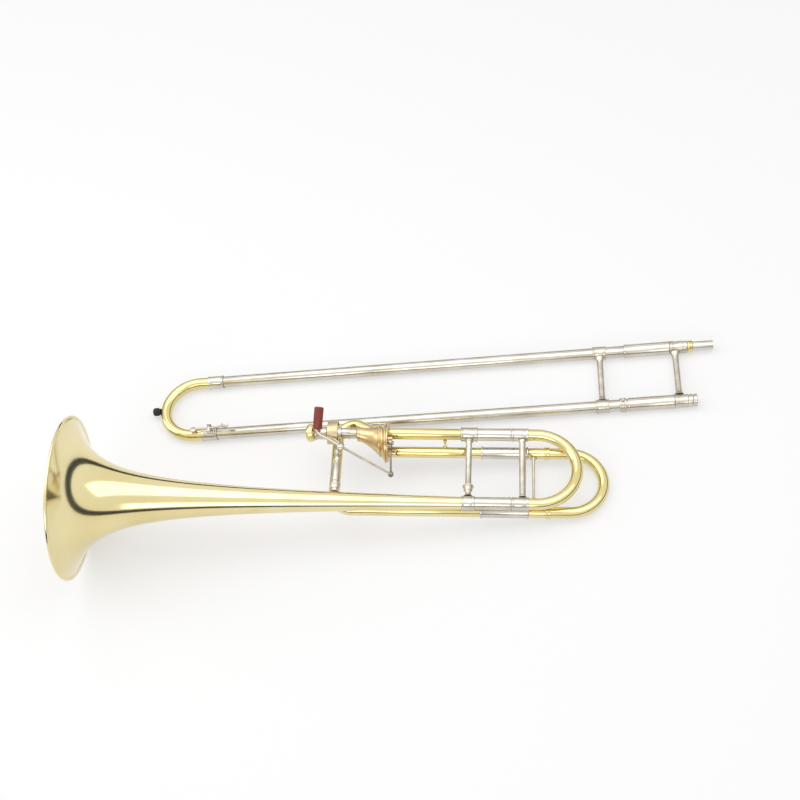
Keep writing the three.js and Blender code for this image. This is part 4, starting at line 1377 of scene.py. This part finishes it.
@dataclass
class InnerSlide(Section):
    """The half of the hand slide that stays on the bell section: tenon, brace and inner tubes."""

    tubes: HandTubes
    brace_back: float = 18.0
    cup_ahead: float = 5.0
    tenon: float = 27.0
    threads: int = 4

    def build(self) -> None:
        """Makes the inner slide."""
        t = self.tubes
        n, r = t.barrel_length, t.barrel_r
        for side, y in (("upper", t.half), ("lower", -t.half)):
            tee = turned(
                v(t.collar_end - GAP, y, t.z), BACK,
                [
                    (0, t.socket_bore), (0, 8.1), (0.5, 8.4), (5.4, 8.4), (6, 8.2), (6.8, 9.0),
                    (8.0, 9.0), (8.4, 8.75), (18.6, 8.75), (19, 9.0), (20, 9.0), (20.8, t.tee_r),
                    (23.5, t.tee_r), (24, 9.1), (24, t.socket_bore),
                ],
                64, 0.12,
            )
            self.finish(
                tee, f"inner_{side}_tee", Look.CAST_NICKEL, "inner_slide", f"inner_{side}_ferrule"
            )
            start = t.collar_end - 3
            tube = drawn(
                v(start, y, t.z), BACK, UP, t.inner_r, [Straight(start - t.inner_end)], t.inner_wall
            )
            self.finish(
                tube, f"inner_{side}_slide_tube", Look.NICKEL_SILVER, "inner_slide", f"inner_{side}_tube"
            )
            barrel = turned(
                v(t.barrel_start, y, t.z), BACK,
                [
                    (0, t.socket_bore), (0, r - 0.4), (0.5, r), (2.6, r), (3.0, r - 0.3),
                    (n - 3.0, r - 0.3), (n - 2.6, r), (n - 0.5, r), (n, r - 0.4), (n, t.cork_bore),
                    (3, t.cork_bore), (3, t.socket_bore),
                ],
                64, 0.12,
            )
            self.finish(
                barrel, f"cork_holder_{side}", Look.NICKEL_SILVER, "inner_slide", f"cork_barrel_{side}"
            )
        top = t.half - t.tee_r - GAP
        ends = [(0, 0), (0, 6.6), (1.0, 6.4), (3, 5.2), (6, 4.5), (12, 4.2)]
        brace = turned(
            v(t.collar_end - self.brace_back, top, t.z), ACROSS, mirrored(2 * top, ends), 48, 0.12
        )
        self.finish(brace, "inner_slide_stay", Look.CAST_NICKEL, "inner_slide", "inner_slide_brace")
        self.build_tenon()
        cup = turned(
            v(t.collar_end + self.cup_ahead, -t.half, t.z), BACK,
            [(0, 6.7), (0, 8.2), (0.5, 8.6), (2.6, 8.6), (3.0, 8.4), (3.6, 7.9), (4.7, 7.9), (4.7, 6.2)],
            64, 0.1,
        )
        self.finish(cup, "mouthpiece_socket", Look.NICKEL_SILVER, "inner_slide", "mouthpiece_receiver")

    def build_tenon(self) -> None:
        """Makes the tapered tenon and the threaded collar behind it."""
        t = self.tubes
        n = self.tenon
        tenon = turned(
            v(0, t.half, t.z), BACK, [(0, 6.0), (0, 6.2), (0.4, 6.35), (n, 6.6), (n, 6.0)], 64, 0
        )
        self.finish(tenon, "tapered_tenon", Look.NICKEL_SILVER, "inner_slide", "slide_tenon")
        thread: Profile = []
        for i in range(self.threads):
            thread += [(1.2 + i, 8.6), (1.7 + i, 8.3)]
        collar = turned(
            v(-n - GAP, t.half, t.z), BACK,
            [(0, 6.2), (0, 8.0), (0.5, 8.4), *thread, (5.2, 8.6), (6.2, 8.5), (6.7, 8.1), (6.7, 6.2)], 64,
            0,
        )
        self.finish(collar, "tenon_thread_collar", Look.LACQUERED_BRASS, "inner_slide", "tenon_collar")


@dataclass
class OuterSlide(Section):
    """The moving half of the hand slide, with its water key and lock ring."""

    tubes: HandTubes
    brace_x: float = -154.6
    socket: float = 18.0
    ferrule: float = 22.0
    crook_straight: float = 24.0
    hole_back: float = 21.0
    nipple: float = 2.2
    pad: float = 1.8

    def build(self) -> None:
        """Makes the outer slide."""
        t = self.tubes
        n = t.outer_start - t.crook_start
        bore = t.outer_r - t.outer_wall
        for side, y in (("upper", t.half), ("lower", -t.half)):
            profile = [(0, bore), (0, t.outer_r), (n, t.outer_r), (n, bore)]
            tube = turned(v(t.outer_start, y, t.z), BACK, profile, 64, 0.1)
            self.finish(
                tube, f"outer_{side}_slide_tube", Look.NICKEL_SILVER, "outer_slide", f"outer_{side}_tube"
            )
            band = beaded_ferrule(t.crook_start, y, t.z, self.ferrule, t.outer_r + GAP, t.barrel_r)
            self.finish(
                band, f"crook_{side}_band", Look.NICKEL_SILVER, "outer_slide", f"crook_{side}_ferrule"
            )
        sockets = [
            beaded_ferrule(self.brace_x, y, t.z, self.socket, t.outer_r + GAP, t.barrel_r)
            for y in (t.half, -t.half)
        ]
        # The stay's ends sink a little into the sockets, which are hollowed between their beads.
        top = t.half - t.barrel_r + 0.7
        ends = [(0, 0), (0, 6.2), (1.4, 5.9), (3, 5.0), (6, 4.4), (10, 4.2)]
        stay = turned(v(self.brace_x, top, t.z), ACROSS, mirrored(2 * top, ends), 48, 0.12)
        self.finish(
            welded([stay, *sockets]), "outer_slide_stay", Look.CAST_NICKEL, "outer_slide",
            "outer_slide_brace",
        )
        self.build_crook()
        self.build_water_key()
        self.build_lock()

    def build_crook(self) -> None:
        """Bends the crook, with its drain nipple, and adds the rubber bumper."""
        t = self.tubes
        straight = Straight(self.crook_straight)
        runs = [straight, Bend(t.half, math.pi, 64), straight]
        crook = drawn(v(t.crook_start - GAP, t.half, t.z), BACK, ACROSS, t.outer_r, runs, t.outer_wall)
        hole_x = t.crook_start - self.hole_back
        nipple = turned(
            v(hole_x, -t.half, t.z + t.outer_r - 0.5), UP,
            [(0, 0), (0, 4.0), (1.0, 3.9), (2.0, 3.55), (2.8, 3.4), (2.8, 0)], 40, 0.1,
        )
        hole = bar(v(hole_x, -t.half, t.z + 2), v(hole_x, -t.half, t.z + 14), 1.6, 0, 24)
        crook = drilled(welded([crook, nipple]), [hole])
        self.finish(crook, "slide_bow", Look.LACQUERED_BRASS, "outer_slide", "slide_crook")
        tip = t.crook_start - GAP - self.crook_straight - t.half - t.outer_r - GAP
        bumper = turned(
            v(tip, 0, t.z), BACK,
            [
                (0, 0), (0, 4.4), (3, 4.4), (3.2, 5.5), (3.7, 5.8), (8.4, 5.8), (9.6, 5.5), (10.6, 4.8),
                (11, 4.0), (11, 0),
            ],
            48, 0.15,
        )
        self.finish(bumper, "rubber_bumper", Look.BLACK_RUBBER, "outer_slide", "crook_bumper")

    def build_water_key(self) -> None:
        """Makes the water key, its cork pad and its saddle."""
        t = self.tubes
        y = -t.half
        hole_x = t.crook_start - self.hole_back
        pin_z = t.z + t.barrel_r + 5
        saddle_x = t.crook_start + 2
        pad_z = t.z + t.outer_r + GAP + self.nipple + GAP
        pad_top = pad_z + self.pad
        base = start_box(v(saddle_x, y, t.z + t.barrel_r + 1.1), v(9, 12, 1.6))
        ears = [start_box(v(saddle_x, y + s * 5.2, pin_z - 0.4), v(6, 1.6, 7.4)) for s in (1, -1)]
        pin = bar(v(saddle_x, y - 6.6, pin_z), v(saddle_x, y + 6.6, pin_z), 1, 0, 24)
        saddle = welded([base, *ears, pin])
        soften(saddle, 0.3)
        self.finish(saddle, "water_key_hinge", Look.CAST_NICKEL, "outer_slide", "water_key_saddle")
        cup = turned(
            v(hole_x, y, pad_top + GAP), UP,
            [(0, 0), (0, 4.4), (1.4, 4.4), (2.0, 4.0), (2.5, 3.0), (2.5, 0)], 40, 0.12,
        )
        barrel = bar(v(saddle_x, y - 3.8, pin_z), v(saddle_x, y + 3.8, pin_z), 2.4, 0.25, 40)
        lever = routed(
            [
                v(hole_x, y, pad_z + 3.4), v(hole_x + 8, y, pin_z + 0.4), v(saddle_x, y, pin_z),
                v(saddle_x + 14, y, pin_z + 2), v(saddle_x + 24, y, pin_z + 5),
            ],
            6, 1.5, 0, 24,
        )
        touch = turned(
            v(saddle_x + 24, y, pin_z + 4), v(0.24, 0, 0.97),
            [(0, 0), (0, 4.4), (0.5, 4.9), (1.2, 5.0), (1.9, 4.9), (2.4, 4.4), (2.0, 2.5), (1.9, 0)], 40,
            0,
        )
        key = welded([barrel, lever, cup, touch])
        key = drilled(key, [bar(v(saddle_x, y - 8, pin_z), v(saddle_x, y + 8, pin_z), 1.3, 0, 24)])
        self.finish(key, "water_key_lever", Look.CAST_NICKEL, "water_key", "water_key")
        pad = bar(v(hole_x, y, pad_z), v(hole_x, y, pad_top), 4.1, 0.2, 40)
        self.finish(pad, "water_key_cork", Look.CORK, "water_key", "water_key_pad")

    def build_lock(self) -> None:
        """Makes the ring that locks the two halves together."""
        t = self.tubes
        x = t.barrel_start - t.barrel_length - 2
        r = t.barrel_r
        ring = turned(
            v(x, -t.half, t.z), BACK,
            [
                (0, t.cork_bore), (0, r - 0.3), (0.4, r), (2.4, r), (2.7, r - 0.3), (3.0, r), (6.0, r),
                (6.3, r - 0.3), (6.6, r), (8.6, r), (9, r - 0.3), (9, t.cork_bore),
            ],
            64, 0.1,
        )
        lug = turned(
            v(x - 4.5, -t.half, t.z + 8.8), UP, [(0, 0), (0, 2.0), (4.4, 2.0), (5.2, 1.2), (5.2, 0)], 24,
            0.2,
        )
        self.finish(welded([ring, lug]), "slide_lock", Look.CAST_NICKEL, "slide_lock", "slide_lock_ring")


# ------------------------------------------------------------------ studio


def seen_directly(tree: bpy.types.NodeTree, path: bpy.types.Node) -> bpy.types.Node:
    """Adds the test for what the camera sees straight, in a mirror or through glass.

    Args:
        tree: the tree of the material or world.
        path: its Light Path node.

    Returns:
        A node whose first output is 1 for those rays.
    """
    mirrored = add_node(
        tree, "ShaderNodeMath", {"operation": "MAXIMUM"},
        {0: path.outputs["Is Camera Ray"], 1: path.outputs["Is Glossy Ray"]},
    )
    return add_node(
        tree, "ShaderNodeMath", {"operation": "MAXIMUM"},
        {0: mirrored.outputs[0], 1: path.outputs["Is Transmission Ray"]},
    )


@dataclass
class Studio:
    """The floor, the lamps, the world and the camera, with its own sizes in metres."""

    section: Matrix
    camera_local: Vector
    camera_pitch: float
    camera_yaw: float
    camera_roll: float
    lens: float
    floor_size: float = 14.0
    floor_depth: float = 0.0006
    glow_start: float = 0.6
    wall_radius: float = 2.4
    wall_height: float = 0.55

    def build(self) -> None:
        """Sets the stage round the instrument."""
        self.add_floor()
        self.add_wall()
        self.add_lamps()
        self.add_world()
        self.add_camera()
        bpy.context.scene.view_settings.view_transform = "Standard"

    def add_floor(self) -> None:
        """Lays a pale matt floor that keeps the object's shadow and turns white further out."""
        bpy.ops.object.select_all(action="DESELECT")
        bpy.ops.mesh.primitive_plane_add(size=self.floor_size, location=(0, 0, -self.floor_depth))
        floor = bpy.context.object
        floor.name = "floor"
        material = bpy.data.materials.new("pale_floor")
        material.use_nodes = True
        tree = material.node_tree
        shader = tree.nodes["Principled BSDF"]
        shader.inputs["Base Color"].default_value = linear("fafafa")
        shader.inputs["Roughness"].default_value = 0.9
        shader.inputs["Specular IOR Level"].default_value = 0.1
        path = add_node(tree, "ShaderNodeLightPath")
        shown = seen_directly(tree, path)
        place = add_node(tree, "ShaderNodeTexCoord")
        away = add_node(
            tree, "ShaderNodeVectorMath", {"operation": "LENGTH"}, {0: place.outputs["Object"]}
        )
        glow = add_node(
            tree, "ShaderNodeMapRange",
            {"From Min": self.glow_start, "From Max": self.wall_radius, "To Min": 0.5, "To Max": 1.0},
            {"Value": away.outputs["Value"]},
        )
        share = add_node(
            tree, "ShaderNodeMath", {"operation": "MULTIPLY"},
            {0: shown.outputs[0], 1: glow.outputs["Result"]},
        )
        white = add_node(tree, "ShaderNodeEmission", {"Color": (1, 1, 1, 1), "Strength": 1.0})
        mix = add_node(
            tree, "ShaderNodeMixShader", None,
            {0: share.outputs[0], 1: shader.outputs["BSDF"], 2: white.outputs["Emission"]},
        )
        tree.links.new(mix.outputs["Shader"], tree.nodes["Material Output"].inputs["Surface"])
        floor.data.materials.append(material)

    def add_wall(self) -> None:
        """Stands a low slate wall round the set: only the metal sees it, as dark streaks."""
        bpy.ops.object.select_all(action="DESELECT")
        bpy.ops.mesh.primitive_cylinder_add(
            vertices=96, radius=self.wall_radius, depth=self.wall_height, end_fill_type="NOTHING",
            location=(0, 0, self.wall_height / 2),
        )
        wall = bpy.context.object
        wall.name = "slate_wall"
        material = bpy.data.materials.new("slate_card")
        material.use_nodes = True
        shader = material.node_tree.nodes["Principled BSDF"]
        shader.inputs["Base Color"].default_value = linear("3a3f4a")
        shader.inputs["Roughness"].default_value = 0.9
        wall.data.materials.append(material)
        wall.visible_camera = False
        wall.visible_shadow = False
        wall.visible_diffuse = False
        wall.visible_transmission = False

    @staticmethod
    def add_lamp(name: str, place: Vector, aim: Vector, size: tuple[float, float], watts: float) -> None:
        """Hangs a rectangular soft lamp.

        Args:
            name: what it is.
            place: where it hangs, in metres.
            aim: the point that it shines at.
            size: width and height in metres.
            watts: its power.
        """
        bpy.ops.object.light_add(type="AREA", location=place)
        lamp = bpy.context.object
        lamp.name = name
        lamp.data.shape = "RECTANGLE"
        lamp.data.size, lamp.data.size_y = size
        lamp.data.energy = watts
        lamp.rotation_euler = (aim - place).to_track_quat("-Z", "Y").to_euler()

    def add_lamps(self) -> None:
        """Hangs one long overhead softbox and two weaker side ones."""
        self.add_lamp("overhead", v(0.1, 0.25, 1.7), v(0, 0, 0), (3.2, 1.4), 17)
        self.add_lamp("front", v(-0.5, -1.9, 1.1), v(0, 0, 0), (1.8, 0.8), 8)
        self.add_lamp("side", v(-1.8, 0.2, 0.9), v(-0.2, 0, 0.1), (0.8, 1.4), 6)

    def add_world(self) -> None:
        """Sets a plain pale room, which the camera and the metal see as white."""
        world = bpy.data.worlds.new("studio")
        bpy.context.scene.world = world
        world.use_nodes = True
        tree = world.node_tree
        tree.nodes.clear()
        path = add_node(tree, "ShaderNodeLightPath")
        room = add_node(tree, "ShaderNodeBackground", {"Color": linear("f4f4f5"), "Strength": 0.62})
        white = add_node(tree, "ShaderNodeBackground", {"Color": (1, 1, 1, 1), "Strength": 1.0})
        shown = seen_directly(tree, path)
        mix = add_node(
            tree, "ShaderNodeMixShader", None,
            {0: shown.outputs[0], 1: room.outputs["Background"], 2: white.outputs["Background"]},
        )
        add_node(tree, "ShaderNodeOutputWorld", None, {"Surface": mix.outputs["Shader"]})

    def add_camera(self) -> None:
        """Puts the camera before the bell section, looking down on it."""
        e = self.camera_pitch
        ahead = v(0, math.cos(e), -math.sin(e))
        up = v(0, math.sin(e), math.cos(e))
        axes = Matrix((AHEAD, up, -ahead)).transposed().to_4x4()
        roll = Matrix.Rotation(self.camera_roll, 4, "Z")
        yaw = Matrix.Rotation(self.camera_yaw, 4, up)
        place = Matrix.Translation(self.camera_local * MM) @ yaw @ axes @ roll
        bpy.ops.object.camera_add()
        camera = bpy.context.object
        camera.matrix_world = self.section @ place
        camera.data.lens = self.lens
        camera.data.sensor_width = 36
        camera.data.clip_start = 0.01
        camera.data.clip_end = 50
        bpy.context.scene.camera = camera


# ------------------------------------------------------------------ making it


def joint_named(name: str) -> dict:
    """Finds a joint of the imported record."""
    return next(j for j in frame["joints"] if j["name"] == name)


def bell_section_place() -> Matrix:
    """Works out the bell section's frame, from its slide's direction and its rotor's place.

    Returns:
        The placement of the section, in metres.
    """
    along = Vector(joint_named("tuning_slide_pull")["axis"]).normalized()
    turn = Matrix((along, -ACROSS, along.cross(-ACROSS))).transposed()
    rotor = Vector(joint_named("rotor_turn")["pos_m"])
    return Matrix.Translation(rotor - turn @ (ROTOR_PLACE * MM)) @ turn.to_4x4()


def hand_slide_place() -> Matrix:
    """Works out the hand slide's frame, from its travel and its lock ring's place.

    Returns:
        The placement of the hand slide, in metres.
    """
    along = -Vector(joint_named("hand_slide_travel")["axis"]).normalized()
    turn = Matrix((along, UP.cross(along), UP)).transposed()
    lock = Vector(joint_named("slide_lock_turn")["pos_m"])
    return Matrix.Translation(lock - turn @ (LOCK_PLACE * MM)) @ turn.to_4x4()


def main() -> None:
    """Builds the instrument and its studio."""
    logging.basicConfig(level=logging.INFO, format="%(message)s")
    section = bell_section_place()
    hand = hand_slide_place()
    tubing = Tubing()
    bell = Bell(section)
    valve = Valve(section, tubing)
    tubes = HandTubes()
    assemblies = [
        bell,
        MainTubes(section, tubing),
        Braces(section, tubing, bell),
        Receiver(section, tubing),
        Saddle(section, tubing),
        valve,
        Loop(section, tubing, bell),
        TuningSlide(section, tubing),
        Trigger(
            section, tubing, valve,
            pivot=v(351, 76, 13.5), grip_low=v(319, 102, 20), grip_high=v(321, 120, 36),
        ),
        InnerSlide(hand, tubes),
        OuterSlide(hand, tubes),
    ]
    for assembly in assemblies:
        assembly.build()
    studio = Studio(
        section,
        camera_local=v(553.3, -934.2, 1563.7),
        camera_pitch=math.radians(55),
        camera_yaw=math.radians(3.86),
        camera_roll=math.radians(0.5),
        lens=63.7,
    )
    studio.build()
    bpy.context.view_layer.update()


if __name__ == "__main__":
    main()
